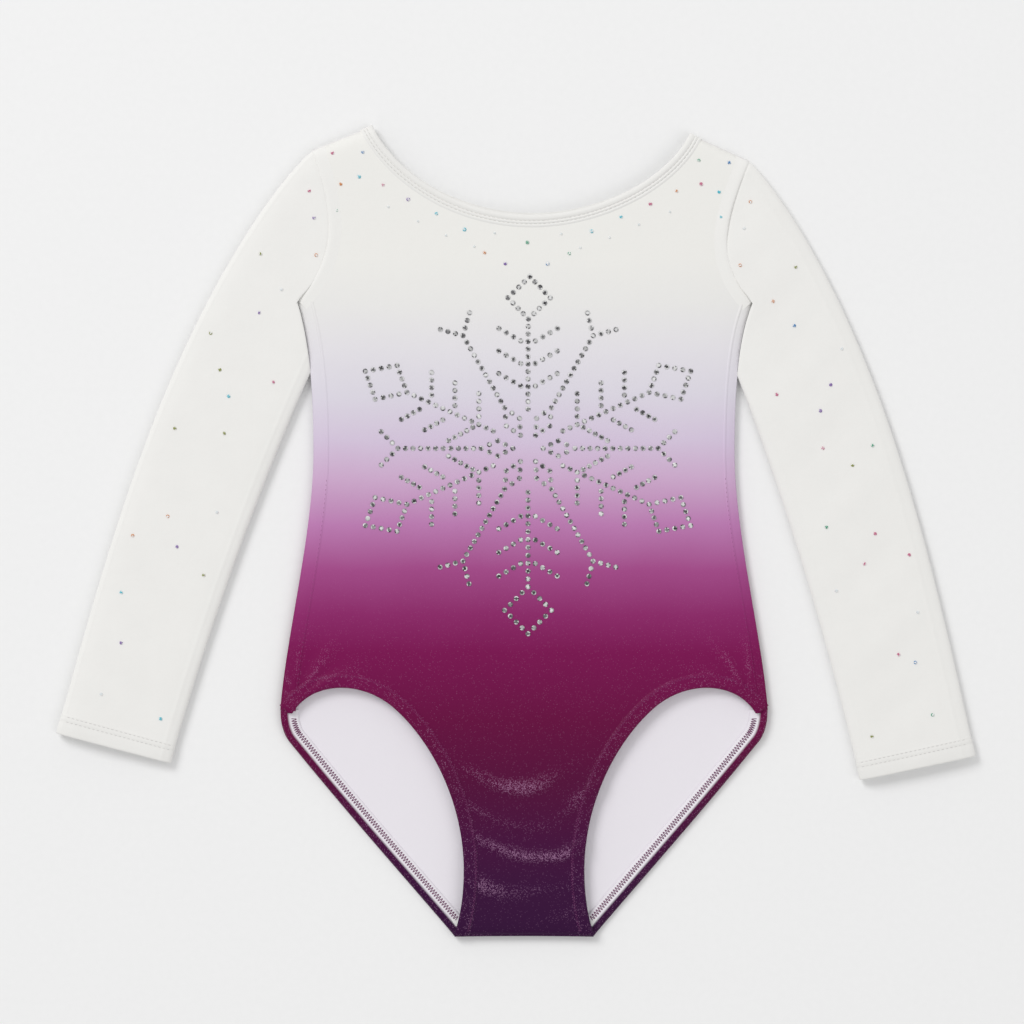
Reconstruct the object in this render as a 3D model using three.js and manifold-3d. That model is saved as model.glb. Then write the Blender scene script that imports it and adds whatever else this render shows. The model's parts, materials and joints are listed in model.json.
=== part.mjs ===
// A girl's long-sleeved gymnastics leotard lying flat on its back, in millimetres.
// +Z is up, +Y runs from the crotch to the neck, and +X is the wearer's left.
// Two printed panels and two sleeves are sewn into one body, so that they meet at
// seams and hems, which are solids of their own. The cloth is drawn a little thicker
// and fuller than it lies, so that its inside stays open.
import * as THREE from 'three';
import * as BufferGeometryUtils from 'three/addons/utils/BufferGeometryUtils.js';
import Module from 'manifold-3d';

const wasm = await Module();
wasm.setup();

// ---- Heights ----
const CLOTH = 0.8; // thickness of one layer of cloth
const GAP = 0.3; // clearance between two pieces that are sewn together
const PUFF = 3.05; // how far each panel stands off from the height of the side seams
const SEAM_LEVEL = CLOTH + PUFF + GAP / 2; // height at which the two panels meet
const FULL_HEIGHT = 2 * SEAM_LEVEL;
const WELD = 0.02; // corners of a cut solid that lie closer than this are one corner

// ---- Body, half of it: distances from the centre line and along the body ----
const BODY_TOP = 265; // the neck end of the shoulder seam
const BODY_BOTTOM = -267; // the fold of the crotch
const NECK_HALF_WIDTH = 105;
const NECK_LOW_POINT = 209;
const BACK_NECK_RISE = 1.5; // the back scoop is this much shallower
const SHOULDER_HALF_WIDTH = 144.5;
const SHOULDER_DROP = 17; // the sleeve end of the shoulder seam lies this much lower
const ARMHOLE_DEPTH = 95.5; // from the shoulder seam down to the underarm
const ARMHOLE_INSET = 19; // how far the armhole curves in
const UNDERARM_HALF_WIDTH = 150.5;
const WAIST_HALF_WIDTH = 138.6;
const WAIST_LEVEL = 52;
const HIP_HALF_WIDTH = 160.6;
const HIP_LEVEL = -118;
const LEG_TOP_RISE = 17; // the front leg opening arches this much above the hip corner
const LEG_ARCH_HALF_WIDTH = 83.8; // where the arch turns down to the crotch
const CROTCH_HALF_WIDTH = 39.4; // the narrowest place between the leg openings
const CROTCH_END_HALF_WIDTH = 46;

// ---- Sleeves ----
const SLEEVE_LENGTH = 420; // from the shoulder to the cuff, along the fold
const SLEEVE_ANGLE = THREE.MathUtils.degToRad(22.3); // off the centre line
const SLEEVE_BOW = 25; // how far the fold bows outward
const SLEEVE_TOP_WIDTH = 57.8; // from the straight line of the fold to the underarm seam
const SLEEVE_FLARE = 18; // how much further the seam runs out at the cuff
const CUFF_SLANT = 0.158; // the cuff is square to the sleeve's middle, not to its fold

// ---- Sewing ----
const NECK_HEM = 8;
const LEG_HEM = 9;
const CUFF_HEM = 13;
const SEAM_ALLOWANCE = 5;
const FOLD_WIDTH = 3; // the solid edge of a sleeve's fold
const ELASTIC_WIDTH = 6;
const ELASTIC_THICKNESS = 0.6;
const LEG_ELASTIC_EDGE = (LEG_HEM - ELASTIC_WIDTH) / 2; // it lies in the middle of its hem
const LINING_THICKNESS = 0.6;
const LINING_LENGTH = 105;

// ---- How it was laid down: the yoke leans a little to the wearer's left ----
const YOKE_SHIFT = 4.65;
const YOKE_TURN = 0.0253;
const LEAN_STARTS = 120;

// ---- Stones ----
const FLAKE_CENTRE = new THREE.Vector2(2.6, 55);
const FLAKE_LINE = 3.8; // the width of a row of stones
const STONE_HEIGHT = 0.9;

function v(x, y) {
  return new THREE.Vector2(x, y);
}

function smoothstep(value, start, end) {
  const t = THREE.MathUtils.clamp((value - start) / (end - start), 0, 1);
  return t * t * (3 - 2 * t);
}

// A point of the symmetric pattern, where it lies on the table.
function lie(point) {
  const t = smoothstep(point.y, LEAN_STARTS, BODY_TOP);
  return v(point.x + YOKE_SHIFT * t, point.y - YOKE_TURN * point.x * t);
}

function curve(points, steps) {
  const [a, b, c, d] = points;
  return new THREE.CubicBezierCurve(a, b, c, d).getPoints(steps);
}

// The same line on the other side of the body.
function mirrored(line) {
  return line.map((p) => v(-p.x, p.y));
}

// A line moved sideways, to its right as it is walked, and lengthened at both ends.
function offsetLine(line, distance, extend = 0) {
  const moved = line.map((p, i) => {
    const before = line[Math.max(i - 1, 0)];
    const after = line[Math.min(i + 1, line.length - 1)];
    const along = after.clone().sub(before).normalize();
    return v(p.x + along.y * distance, p.y - along.x * distance);
  });
  const last = line.length - 1;
  const start = line[0].clone().sub(line[1]).normalize().multiplyScalar(extend);
  const end = line[last].clone().sub(line[last - 1]).normalize().multiplyScalar(extend);
  moved[0].add(start);
  moved[last].add(end);
  return moved;
}

// ---- Outlines of the wearer's left half, each from the neck down ----
const shoulderEnd = v(SHOULDER_HALF_WIDTH, BODY_TOP - SHOULDER_DROP);
const underarm = v(UNDERARM_HALF_WIDTH, shoulderEnd.y - ARMHOLE_DEPTH);
const hipCorner = v(HIP_HALF_WIDTH, HIP_LEVEL);

function neckLine(rise) {
  const low = NECK_LOW_POINT + rise;
  const depth = BODY_TOP - low;
  return curve([
    v(0, low), v(NECK_HALF_WIDTH * 0.48, low),
    v(NECK_HALF_WIDTH * 0.88, low + depth * 0.52), v(NECK_HALF_WIDTH, BODY_TOP),
  ], 8);
}

const shoulderLine = [v(NECK_HALF_WIDTH, BODY_TOP), shoulderEnd];

const armholeLine = curve([
  shoulderEnd,
  v(SHOULDER_HALF_WIDTH - ARMHOLE_INSET * 0.7, shoulderEnd.y - ARMHOLE_DEPTH * 0.36),
  v(UNDERARM_HALF_WIDTH - ARMHOLE_INSET * 1.5, underarm.y + ARMHOLE_DEPTH * 0.31),
  underarm,
], 9);

const sideLine = [
  ...curve([
    underarm, v(WAIST_HALF_WIDTH + 3, underarm.y - 24),
    v(WAIST_HALF_WIDTH, WAIST_LEVEL + 43), v(WAIST_HALF_WIDTH, WAIST_LEVEL),
  ], 6),
  ...curve([
    v(WAIST_HALF_WIDTH, WAIST_LEVEL), v(WAIST_HALF_WIDTH, WAIST_LEVEL - 52),
    v(HIP_HALF_WIDTH - 3.6, HIP_LEVEL + 48), hipCorner,
  ], 6).slice(1),
];

const legTop = v(LEG_ARCH_HALF_WIDTH, HIP_LEVEL);
const legFront = v(CROTCH_HALF_WIDTH, BODY_BOTTOM + 43);

const frontLegLine = [
  ...curve([
    v(HIP_HALF_WIDTH - 7, HIP_LEVEL - 2), v(HIP_HALF_WIDTH - 20, HIP_LEVEL + LEG_TOP_RISE + 3),
    v(legTop.x + 22, legTop.y + 21), legTop,
  ], 7),
  ...curve([
    legTop, v(legTop.x - 24, legTop.y - 22),
    v(legFront.x, legFront.y + 44), legFront,
  ], 7).slice(1),
  ...curve([
    legFront, v(legFront.x, legFront.y - 18),
    v(legFront.x + 2.6, legFront.y - 32), v(CROTCH_END_HALF_WIDTH, BODY_BOTTOM),
  ], 4).slice(1),
];

const backLegLine = [
  v(HIP_HALF_WIDTH - 0.2, HIP_LEVEL - 5),
  v(HIP_HALF_WIDTH - 1.3, HIP_LEVEL - 13),
  ...curve([
    v(HIP_HALF_WIDTH - 5, HIP_LEVEL - 20), v(HIP_HALF_WIDTH - 42, HIP_LEVEL - 66),
    v(CROTCH_END_HALF_WIDTH + 36, BODY_BOTTOM + 42), v(CROTCH_END_HALF_WIDTH, BODY_BOTTOM),
  ], 6),
];

function bothSides(neck, legLine) {
  const half = [
    ...neck, ...shoulderLine.slice(1), ...armholeLine.slice(1), ...sideLine.slice(1), ...legLine,
  ];
  return [...half, ...mirrored(half.slice(1)).reverse()];
}

// ---- Solids ----
function toSolid(geometry) {
  const plain = geometry.index ? geometry.toNonIndexed() : geometry.clone();
  plain.deleteAttribute('normal');
  plain.deleteAttribute('uv');
  const merged = BufferGeometryUtils.mergeVertices(plain, 1e-4);
  return new wasm.Manifold(new wasm.Mesh({
    numProp: 3,
    vertProperties: new Float32Array(merged.attributes.position.array),
    triVerts: new Uint32Array(merged.index.array),
  }));
}

function toGeometry(solid) {
  const mesh = solid.getMesh();
  const cut = new THREE.BufferGeometry();
  cut.setAttribute('position', new THREE.BufferAttribute(mesh.vertProperties, 3));
  cut.setIndex(new THREE.BufferAttribute(mesh.triVerts, 1));
  const geometry = BufferGeometryUtils.mergeVertices(cut, WELD);
  const corners = geometry.index.array;
  const kept = [];
  for (let i = 0; i < corners.length; i += 3) {
    const [a, b, c] = corners.slice(i, i + 3);
    if (a !== b && b !== c && c !== a) {
      kept.push(a, b, c);
    }
  }
  geometry.setIndex(kept);
  geometry.computeVertexNormals();
  return geometry;
}

// An upright prism, taller than the garment, over an outline as it lies.
function prism(outline) {
  const shape = new THREE.Shape(outline);
  const margin = 5;
  const geometry = new THREE.ExtrudeGeometry(shape, {
    depth: FULL_HEIGHT + 2 * margin, bevelEnabled: false, steps: 1,
  });
  geometry.translate(0, 0, -margin);
  return toSolid(geometry);
}

// The prism over a strip beside a line: from one distance to another on its right.
function strip(line, from, to, extend = 0) {
  const near = offsetLine(line, from, extend);
  const far = offsetLine(line, to, extend);
  return prism([...near, ...far.reverse()]);
}

function grown(line, from, to, extend = 0) {
  return strip(line, from - GAP, to + GAP, extend + GAP);
}

function joined(solids) {
  return solids.reduce((sum, next) => sum.add(next));
}

function cutAway(solid, cutters) {
  return cutters.reduce((left, cutter) => left.subtract(cutter), solid);
}

// A closed body over a grid of places, between two heights that are worked out there.
function gridBody(places, bottom, top) {
  const rows = places.length;
  const columns = places[0].length;
  const positions = [];
  for (const height of [bottom, top]) {
    for (const row of places) {
      for (const place of row) {
        positions.push(place.at.x, place.at.y, height(place.open));
      }
    }
  }
  const index = [];
  const layer = rows * columns;
  const quad = (a, b, c, d) => index.push(a, b, c, a, c, d);
  for (let r = 0; r < rows - 1; r += 1) {
    for (let c = 0; c < columns - 1; c += 1) {
      const a = r * columns + c;
      const b = a + 1;
      const d = a + columns;
      quad(a, d, d + 1, b);
      quad(a + layer, b + layer, d + 1 + layer, d + layer);
    }
  }
  for (let c = 0; c < columns - 1; c += 1) {
    const end = (rows - 1) * columns + c;
    quad(c, c + 1, c + 1 + layer, c + layer);
    quad(end, end + layer, end + 1 + layer, end + 1);
  }
  for (let r = 0; r < rows - 1; r += 1) {
    const a = r * columns;
    const b = a + columns - 1;
    quad(a, a + layer, a + columns + layer, a + columns);
    quad(b, b + columns, b + columns + layer, b + layer);
  }
  const geometry = new THREE.BufferGeometry();
  geometry.setAttribute('position', new THREE.Float32BufferAttribute(positions, 3));
  geometry.setIndex(index);
  return toSolid(geometry);
}

// Heights for a place that is more or less open: 0 where the layers meet, 1 where flat.
const frontTop = (open) => SEAM_LEVEL + GAP / 2 + CLOTH + PUFF * open;
const frontUnder = (open) => frontTop(open) - CLOTH;
const backUnder = (open) => SEAM_LEVEL - GAP / 2 - CLOTH - PUFF * open;
const backTop = (open) => backUnder(open) + CLOTH;

function layers(places) {
  return {
    front: gridBody(places, frontUnder, frontTop),
    back: gridBody(places, backUnder, backTop),
    whole: gridBody(places, backUnder, frontTop),
  };
}

// ---- The body's grid ----
function halfWidthAt(y) {
  if (y >= underarm.y) {
    return UNDERARM_HALF_WIDTH + 0.25 * (y - underarm.y);
  }
  if (y <= HIP_LEVEL) {
    return HIP_HALF_WIDTH;
  }
  const i = sideLine.findIndex((p) => p.y <= y);
  const above = sideLine[i - 1];
  const below = sideLine[i];
  const t = (above.y - y) / (above.y - below.y);
  return THREE.MathUtils.lerp(above.x, below.x, t);
}

function roundedEdge(inset, width) {
  const t = THREE.MathUtils.clamp(inset / width, 0, 1);
  return Math.sqrt(1 - (1 - t) ** 4);
}

function bodyOpen(x, y) {
  const side = Math.sqrt(1 - Math.min(1, Math.abs(x) / halfWidthAt(y)) ** 8);
  const slope = SHOULDER_DROP / (SHOULDER_HALF_WIDTH - NECK_HALF_WIDTH);
  const shoulder = BODY_TOP - (Math.abs(x) - NECK_HALF_WIDTH) * slope;
  return side * roundedEdge(shoulder - y, 24) * roundedEdge(y - BODY_BOTTOM, 16);
}

function bodyPlaces() {
  const half = [0.25, 0.6, 0.8, 0.89, 0.95, 0.985, 1.01];
  const across = [...half.map((u) => -u).reverse(), ...half];
  const levels = [];
  const rows = 22;
  const margin = 2;
  for (let i = 0; i <= rows; i += 1) {
    const t = i / rows;
    const eased = 0.6 * t + 0.4 * (0.5 - 0.5 * Math.cos(Math.PI * t));
    levels.push(THREE.MathUtils.lerp(BODY_BOTTOM - margin, BODY_TOP + margin, eased));
  }
  return levels.map((y) => across.map((u) => {
    const x = u * halfWidthAt(y);
    return { at: lie(v(x, y)), open: bodyOpen(x, y) };
  }));
}

// ---- A sleeve's grid ----
function sleeveEdges(s) {
  const t = s / SLEEVE_LENGTH;
  const run = Math.max(0, (t - 0.36) / 0.62);
  return {
    fold: SLEEVE_BOW * Math.sin(Math.PI * Math.min(t, 1) ** 0.75),
    seam: -SLEEVE_TOP_WIDTH - SLEEVE_FLARE * run ** 1.8,
    slant: CUFF_SLANT * t * t,
  };
}

function sleeveFrame(side) {
  const start = lie(v(side * SHOULDER_HALF_WIDTH, shoulderEnd.y));
  const angle = side * SLEEVE_ANGLE - YOKE_TURN;
  const along = v(Math.sin(angle), -Math.cos(angle));
  const outward = v(Math.cos(angle) * side, Math.sin(angle) * side);
  return { start, along, outward };
}

function sleevePoint(side, s, offset) {
  const { start, along, outward } = sleeveFrame(side);
  const run = s + sleeveEdges(s).slant * offset;
  return start.clone().addScaledVector(along, run).addScaledVector(outward, offset);
}

function sleevePlaces(side) {
  const across = [0, 0.025, 0.08, 0.2, 0.5, 0.8, 0.92, 0.975, 1];
  const stations = 14;
  const overrun = 1;
  const rows = [];
  for (let i = 0; i <= stations; i += 1) {
    const s = (i / stations) * (SLEEVE_LENGTH + overrun);
    const { fold, seam } = sleeveEdges(s);
    rows.push(across.map((q) => ({
      at: sleevePoint(side, s, THREE.MathUtils.lerp(seam, fold, q)),
      open: Math.sqrt(Math.max(0, 1 - Math.abs(2 * q - 1) ** 7)),
    })));
  }
  return side < 0 ? rows : rows.map((row) => [...row].reverse());
}

// A line along the sleeve at a share of its width: 0 on the underarm seam, 1 on the fold.
// The sleeve's cloth lies to the right of either line as it is walked.
function sleeveLine(side, share) {
  const line = [];
  const steps = 14;
  for (let i = 0; i <= steps; i += 1) {
    const s = (i / steps) * (SLEEVE_LENGTH + 2);
    const { fold, seam } = sleeveEdges(s);
    line.push(sleevePoint(side, s, THREE.MathUtils.lerp(seam, fold, share)));
  }
  return (side > 0) === (share > 0.5) ? line : line.reverse();
}

function cuffLine(side) {
  const { fold, seam } = sleeveEdges(SLEEVE_LENGTH);
  const reach = 10;
  const line = [
    sleevePoint(side, SLEEVE_LENGTH, seam - reach),
    sleevePoint(side, SLEEVE_LENGTH, fold + reach),
  ];
  return side > 0 ? line.reverse() : line;
}

// ---- Materials ----
function material(colour, roughness) {
  return new THREE.MeshStandardMaterial({ color: colour, roughness, metalness: 0 });
}

const whiteCloth = material(0xeceae6, 0.75);
const printedCloth = material(0xa8619a, 0.6);
const backCloth = material(0xe5e1e7, 0.8);
const magentaCloth = material(0x7a1a52, 0.6);
const whiteSeam = material(0xdedbd8, 0.8);
const elasticTape = material(0xf0f0ee, 0.85);
const stoneSilver = new THREE.MeshStandardMaterial({
  color: 0xb8b8c0, roughness: 0.2, metalness: 0.6,
});

// ---- The body's layers and the strips that its hems and seams are cut from ----
const bodyGrid = bodyPlaces();
const body = layers(bodyGrid);
const tape = {
  front: gridBody(bodyGrid, (o) => frontUnder(o) - GAP - ELASTIC_THICKNESS, (o) => frontUnder(o) - GAP),
  back: gridBody(bodyGrid, (o) => backTop(o) + GAP, (o) => backTop(o) + GAP + ELASTIC_THICKNESS),
  whole: gridBody(
    bodyGrid,
    (o) => backTop(o) + GAP,
    (o) => Math.max(frontUnder(o) - GAP, backTop(o) + GAP + ELASTIC_THICKNESS / 2),
  ),
};
const frontOutline = prism(bothSides(neckLine(0), frontLegLine).map(lie));
const backOutline = prism(bothSides(neckLine(BACK_NECK_RISE), backLegLine).map(lie));

// A line of the wearer's left half on the chosen side, as it lies, cloth to its right.
function onSide(line, side) {
  return (side > 0 ? line : mirrored(line).reverse()).map(lie);
}

function wholeNeck(rise) {
  const half = neckLine(rise);
  return [...mirrored(half.slice(1)).reverse(), ...half].map(lie);
}

const crotchLine = [
  v(CROTCH_END_HALF_WIDTH + 4, BODY_BOTTOM), v(-CROTCH_END_HALF_WIDTH - 4, BODY_BOTTOM),
];
const SIDES = { left: 1, right: -1 };
const sideValues = Object.values(SIDES);

// Every strip as it is, and grown by the clearance that its neighbours keep.
function sewn(line, width, extend = 0) {
  return { keep: strip(line, 0, width, extend), cut: grown(line, -1, width, extend) };
}

const neckFront = sewn(wholeNeck(0), NECK_HEM, 6);
const neckBack = sewn(wholeNeck(BACK_NECK_RISE), NECK_HEM, 6);
const crotch = sewn(crotchLine, SEAM_ALLOWANCE);
const perSide = {};
for (const side of sideValues) {
  perSide[side] = {
    shoulder: sewn(onSide(shoulderLine, side), SEAM_ALLOWANCE, 3),
    armhole: sewn(onSide(armholeLine, side), SEAM_ALLOWANCE, 3),
    side: sewn(onSide(sideLine, side), SEAM_ALLOWANCE, 6),
    legFront: sewn(onSide(frontLegLine, side), LEG_HEM, 4),
    legBack: sewn(onSide(backLegLine, side), LEG_HEM, 6),
  };
}

function cutsOf(names) {
  return sideValues.flatMap((side) => names.map((name) => perSide[side][name].cut));
}

// ---- Sub-parts of the body ----
function frontPanel() {
  const cuts = cutsOf(['shoulder', 'armhole', 'side', 'legFront']);
  return cutAway(body.front.intersect(frontOutline), [neckFront.cut, crotch.cut, ...cuts]);
}

function backPanel() {
  const cuts = cutsOf(['shoulder', 'armhole', 'side', 'legBack']);
  return cutAway(body.back.intersect(backOutline), [neckBack.cut, crotch.cut, ...cuts]);
}

// A ring of two strips, one in each layer, joined where the layers come together.
function ring(from, frontStrip, backStrip, joints) {
  const bridges = joints.map((joint) => from.whole.intersect(joint));
  return joined([from.front.intersect(frontStrip), from.back.intersect(backStrip), ...bridges]);
}

function neckHem() {
  const front = neckFront.keep.intersect(frontOutline);
  const back = neckBack.keep.intersect(backOutline);
  const joints = sideValues.map((side) => front.intersect(perSide[side].shoulder.keep));
  return ring(body, front, back, joints);
}

function neckElastic() {
  const edge = (NECK_HEM - ELASTIC_WIDTH) / 2;
  const tapeStrip = (rise) => strip(wholeNeck(rise), edge, edge + ELASTIC_WIDTH);
  const ends = sideValues.map((side) => strip(onSide(shoulderLine, side), -20, 8, 8));
  const front = cutAway(tapeStrip(0), ends);
  const back = cutAway(tapeStrip(BACK_NECK_RISE), ends);
  const joints = sideValues.map((side) => (
    front.intersect(back).intersect(strip(onSide(shoulderLine, side), 7, 12, 8))
  ));
  return ring(tape, front, back, joints);
}

function legHem(side) {
  const front = perSide[side].legFront.keep.intersect(frontOutline);
  const back = perSide[side].legBack.keep.intersect(backOutline);
  const inner = LEG_ELASTIC_EDGE + ELASTIC_WIDTH;
  const elastic = [frontLegLine, backLegLine].map((line) => (
    grown(onSide(line, side), LEG_ELASTIC_EDGE, inner, 2)
  ));
  return ring(body, front, back, [cutAway(front.intersect(back), elastic)]);
}

function legElastic(side) {
  const clearOfCrotch = strip(crotchLine, -10, SEAM_ALLOWANCE + 1, 4);
  const place = (line) => (
    strip(onSide(line, side), LEG_ELASTIC_EDGE, LEG_ELASTIC_EDGE + ELASTIC_WIDTH, 2)
      .subtract(clearOfCrotch)
  );
  const front = place(frontLegLine).intersect(frontOutline);
  const back = place(backLegLine).intersect(backOutline);
  return ring(tape, front, back, [front.intersect(back)]);
}

function sideSeam(side) {
  const place = perSide[side].side.keep.intersect(frontOutline);
  const neighbours = [perSide[side].armhole.cut, perSide[side].legFront.cut,
    perSide[side].legBack.cut];
  return cutAway(body.whole.intersect(place), neighbours);
}

function shoulderSeam(side) {
  const place = perSide[side].shoulder.keep.intersect(frontOutline);
  const neighbours = [neckFront.cut, neckBack.cut, perSide[side].armhole.cut];
  return cutAway(body.whole.intersect(place), neighbours);
}

function armholeSeam(side) {
  const place = perSide[side].armhole.keep.intersect(frontOutline);
  const joints = [perSide[side].shoulder.keep, perSide[side].side.keep];
  return ring(body, place, place, joints.map((joint) => place.intersect(joint)));
}

function crotchSeam() {
  const place = crotch.keep.intersect(frontOutline);
  return cutAway(body.whole.intersect(place), cutsOf(['legFront', 'legBack']));
}

function crotchLining() {
  const clear = SEAM_ALLOWANCE + 2;
  const place = strip(crotchLine, clear, clear + LINING_LENGTH);
  const hems = sideValues.map((side) => strip(onSide(frontLegLine, side), -60, LEG_HEM + GAP));
  const sheet = gridBody(
    bodyGrid,
    (o) => frontUnder(o) - GAP - LINING_THICKNESS,
    (o) => frontUnder(o) - GAP,
  );
  return cutAway(sheet.intersect(place), hems);
}

// ---- Sub-parts of a sleeve ----
function sleeveParts(side) {
  const cloth = layers(sleevePlaces(side));
  const foldStrip = strip(sleeveLine(side, 1), -5, FOLD_WIDTH);
  const seamStrip = strip(sleeveLine(side, 0), -5, SEAM_ALLOWANCE);
  const seamCut = strip(sleeveLine(side, 0), -5, SEAM_ALLOWANCE + GAP);
  const cuffStrip = strip(cuffLine(side), 0, CUFF_HEM);
  const beyondCuff = strip(cuffLine(side), -20, 0);
  const cuffCut = strip(cuffLine(side), -20, CUFF_HEM + GAP);
  const bodyCut = [
    frontOutline,
    strip(onSide(armholeLine, side), -GAP, 4, 2),
    strip(onSide(sideLine, side), -GAP, 4, 2),
  ];
  const fold = cloth.whole.intersect(foldStrip);
  const seam = cloth.whole.intersect(seamStrip);
  const open = joined([cloth.front, cloth.back, fold]);
  return {
    sleeve: cutAway(open, [seamCut, cuffCut, ...bodyCut]),
    cuff_hem: joined([open, seam]).intersect(cuffStrip).subtract(beyondCuff),
    underarm_seam: cutAway(seam, [cuffCut, ...bodyCut]),
  };
}

// ---- The snowflake: rows of small stones on their transfer film ----
function stoneRow(from, to) {
  const run = to.clone().sub(from);
  const geometry = new THREE.BoxGeometry(run.length() + FLAKE_LINE, FLAKE_LINE, STONE_HEIGHT);
  geometry.rotateZ(run.angle());
  const middle = from.clone().add(to).multiplyScalar(0.5).add(FLAKE_CENTRE);
  geometry.translate(middle.x, middle.y, FULL_HEIGHT + GAP + STONE_HEIGHT / 2);
  return toSolid(geometry);
}

function stoneRows(lines) {
  return joined(lines.flatMap((line) => (
    line.slice(1).map((point, i) => stoneRow(line[i], point))
  )));
}

// A straight arm up or down the body, with a diamond at its tip and three chevrons.
function spineArm(direction) {
  const start = direction > 0 ? 26 : 29;
  const tip = direction > 0 ? 85.5 : 91.5;
  const diamond = 14;
  const at = (x, y) => v(x, y * direction);
  const lines = [
    [at(0, start), at(0, tip)],
    [at(0, tip), at(diamond, tip + diamond), at(0, tip + 2 * diamond), at(-diamond, tip + diamond),
      at(0, tip)],
  ];
  for (const chevron of [0.21, 0.46, 0.71]) {
    const y = start + (tip - start) * chevron;
    lines.push([at(-19, y + 11), at(0, y), at(19, y + 11)]);
  }
  return stoneRows(lines);
}

// A slanting arm with a leaning square at its tip and three pairs of twigs.
function slantArm(x, y) {
  const at = (along, across) => v(along * x, across * y);
  const lines = [
    [at(23, 11.5), at(80, 37)],
    [at(80, 37), at(86.5, 55), at(107.5, 51), at(101, 32.5), at(80, 37)],
  ];
  for (const twig of [32.5, 48, 63.5]) {
    const height = 1.5 + twig * 0.45;
    lines.push([at(twig, height + 19), at(twig, height), at(twig + 20, height - 10)]);
  }
  return stoneRows(lines);
}

// A fine arm with a fork at its tip and a narrow leaf near the centre.
function forkArm(degrees) {
  const angle = THREE.MathUtils.degToRad(degrees);
  const at = (along, across) => v(along, across).rotateAround(v(0, 0), angle);
  return stoneRows([
    [at(10, 0), at(20, 5), at(31, 0)],
    [at(10, 0), at(20, -5), at(31, 0)],
    [at(31, 0), at(83, 0)],
    [at(93, 11), at(83, 0), at(93, -11)],
  ]);
}

// ---- Assembly ----
const leotard = new THREE.Group();

function addPart(name, solid, look) {
  const mesh = new THREE.Mesh(toGeometry(solid), look);
  mesh.name = name;
  leotard.add(mesh);
}

addPart('front_panel', frontPanel(), printedCloth);
addPart('back_panel', backPanel(), backCloth);
addPart('neck_hem', neckHem(), whiteSeam);
addPart('neck_elastic', neckElastic(), elasticTape);
addPart('crotch_seam', crotchSeam(), magentaCloth);
addPart('crotch_lining', crotchLining(), backCloth);
for (const [name, side] of Object.entries(SIDES)) {
  const sleeve = sleeveParts(side);
  addPart(`${name}_sleeve`, sleeve.sleeve, whiteCloth);
  addPart(`${name}_cuff_hem`, sleeve.cuff_hem, whiteCloth);
  addPart(`${name}_underarm_seam`, sleeve.underarm_seam, whiteSeam);
  addPart(`${name}_shoulder_seam`, shoulderSeam(side), whiteSeam);
  addPart(`${name}_armhole_seam`, armholeSeam(side), whiteSeam);
  addPart(`${name}_side_seam`, sideSeam(side), whiteSeam);
  addPart(`${name}_leg_hem`, legHem(side), magentaCloth);
  addPart(`${name}_leg_elastic`, legElastic(side), elasticTape);
}

addPart('snowflake_top_arm', spineArm(1), stoneSilver);
addPart('snowflake_bottom_arm', spineArm(-1), stoneSilver);
for (const [name, x] of Object.entries(SIDES)) {
  addPart(`snowflake_upper_${name}_arm`, slantArm(x, 1), stoneSilver);
  addPart(`snowflake_lower_${name}_arm`, slantArm(x, -1), stoneSilver);
}
for (let i = 0; i < 6; i += 1) {
  addPart(`snowflake_fine_arm_${i + 1}`, forkArm(i * 60), stoneSilver);
}

// The frame: its origin is below the middle of the garment, on the table.
const bounds = new THREE.Box3().setFromObject(leotard);
const middle = bounds.getCenter(new THREE.Vector3());
leotard.position.set(-middle.x, -middle.y, 0);

export default leotard;
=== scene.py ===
# %% [markdown]
# # A gymnastics leotard, laid flat on its back
# A leotard is two printed stretch panels and two sleeves, sewn into one body and finished
# with elastic hems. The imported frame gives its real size, its joints and the pieces that are
# sewn together. This lesson makes the cloth, the sewing and the stones around that frame.

# %% Load the frame
import json
import math

import bpy
import numpy as np
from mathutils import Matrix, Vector
from mathutils.geometry import delaunay_2d_cdt

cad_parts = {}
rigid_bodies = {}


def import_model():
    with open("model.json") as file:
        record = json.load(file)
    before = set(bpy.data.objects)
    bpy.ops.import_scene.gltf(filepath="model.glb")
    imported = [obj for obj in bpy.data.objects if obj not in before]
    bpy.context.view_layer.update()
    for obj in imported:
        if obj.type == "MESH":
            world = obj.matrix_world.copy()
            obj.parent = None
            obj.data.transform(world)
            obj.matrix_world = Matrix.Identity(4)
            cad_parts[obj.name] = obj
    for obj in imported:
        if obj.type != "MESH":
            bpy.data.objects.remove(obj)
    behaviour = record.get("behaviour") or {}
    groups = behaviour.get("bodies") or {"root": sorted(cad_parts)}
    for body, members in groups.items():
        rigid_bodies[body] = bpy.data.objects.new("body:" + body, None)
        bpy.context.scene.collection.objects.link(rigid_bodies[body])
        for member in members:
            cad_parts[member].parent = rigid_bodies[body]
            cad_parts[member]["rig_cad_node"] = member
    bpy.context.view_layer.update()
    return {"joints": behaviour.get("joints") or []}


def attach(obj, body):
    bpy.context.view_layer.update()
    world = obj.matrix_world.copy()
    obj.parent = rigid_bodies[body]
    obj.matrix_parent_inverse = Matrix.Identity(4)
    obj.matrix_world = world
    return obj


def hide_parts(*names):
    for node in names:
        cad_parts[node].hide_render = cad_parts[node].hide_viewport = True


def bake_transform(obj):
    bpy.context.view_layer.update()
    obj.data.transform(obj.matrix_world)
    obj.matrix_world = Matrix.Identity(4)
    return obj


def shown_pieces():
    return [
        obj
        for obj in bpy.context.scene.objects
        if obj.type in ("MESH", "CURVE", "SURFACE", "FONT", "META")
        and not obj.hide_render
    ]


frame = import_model()

# %% [markdown]
# ## The lines that the cloth is cut to
# A pattern cutter draws half a garment and folds the paper. The neck, shoulder, armhole, side
# and leg lines are drawn here for the wearer's left half, in metres, and mirrored. A Bezier
# curve is the natural tool, because a pattern maker's French curve gives the same shapes.

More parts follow.
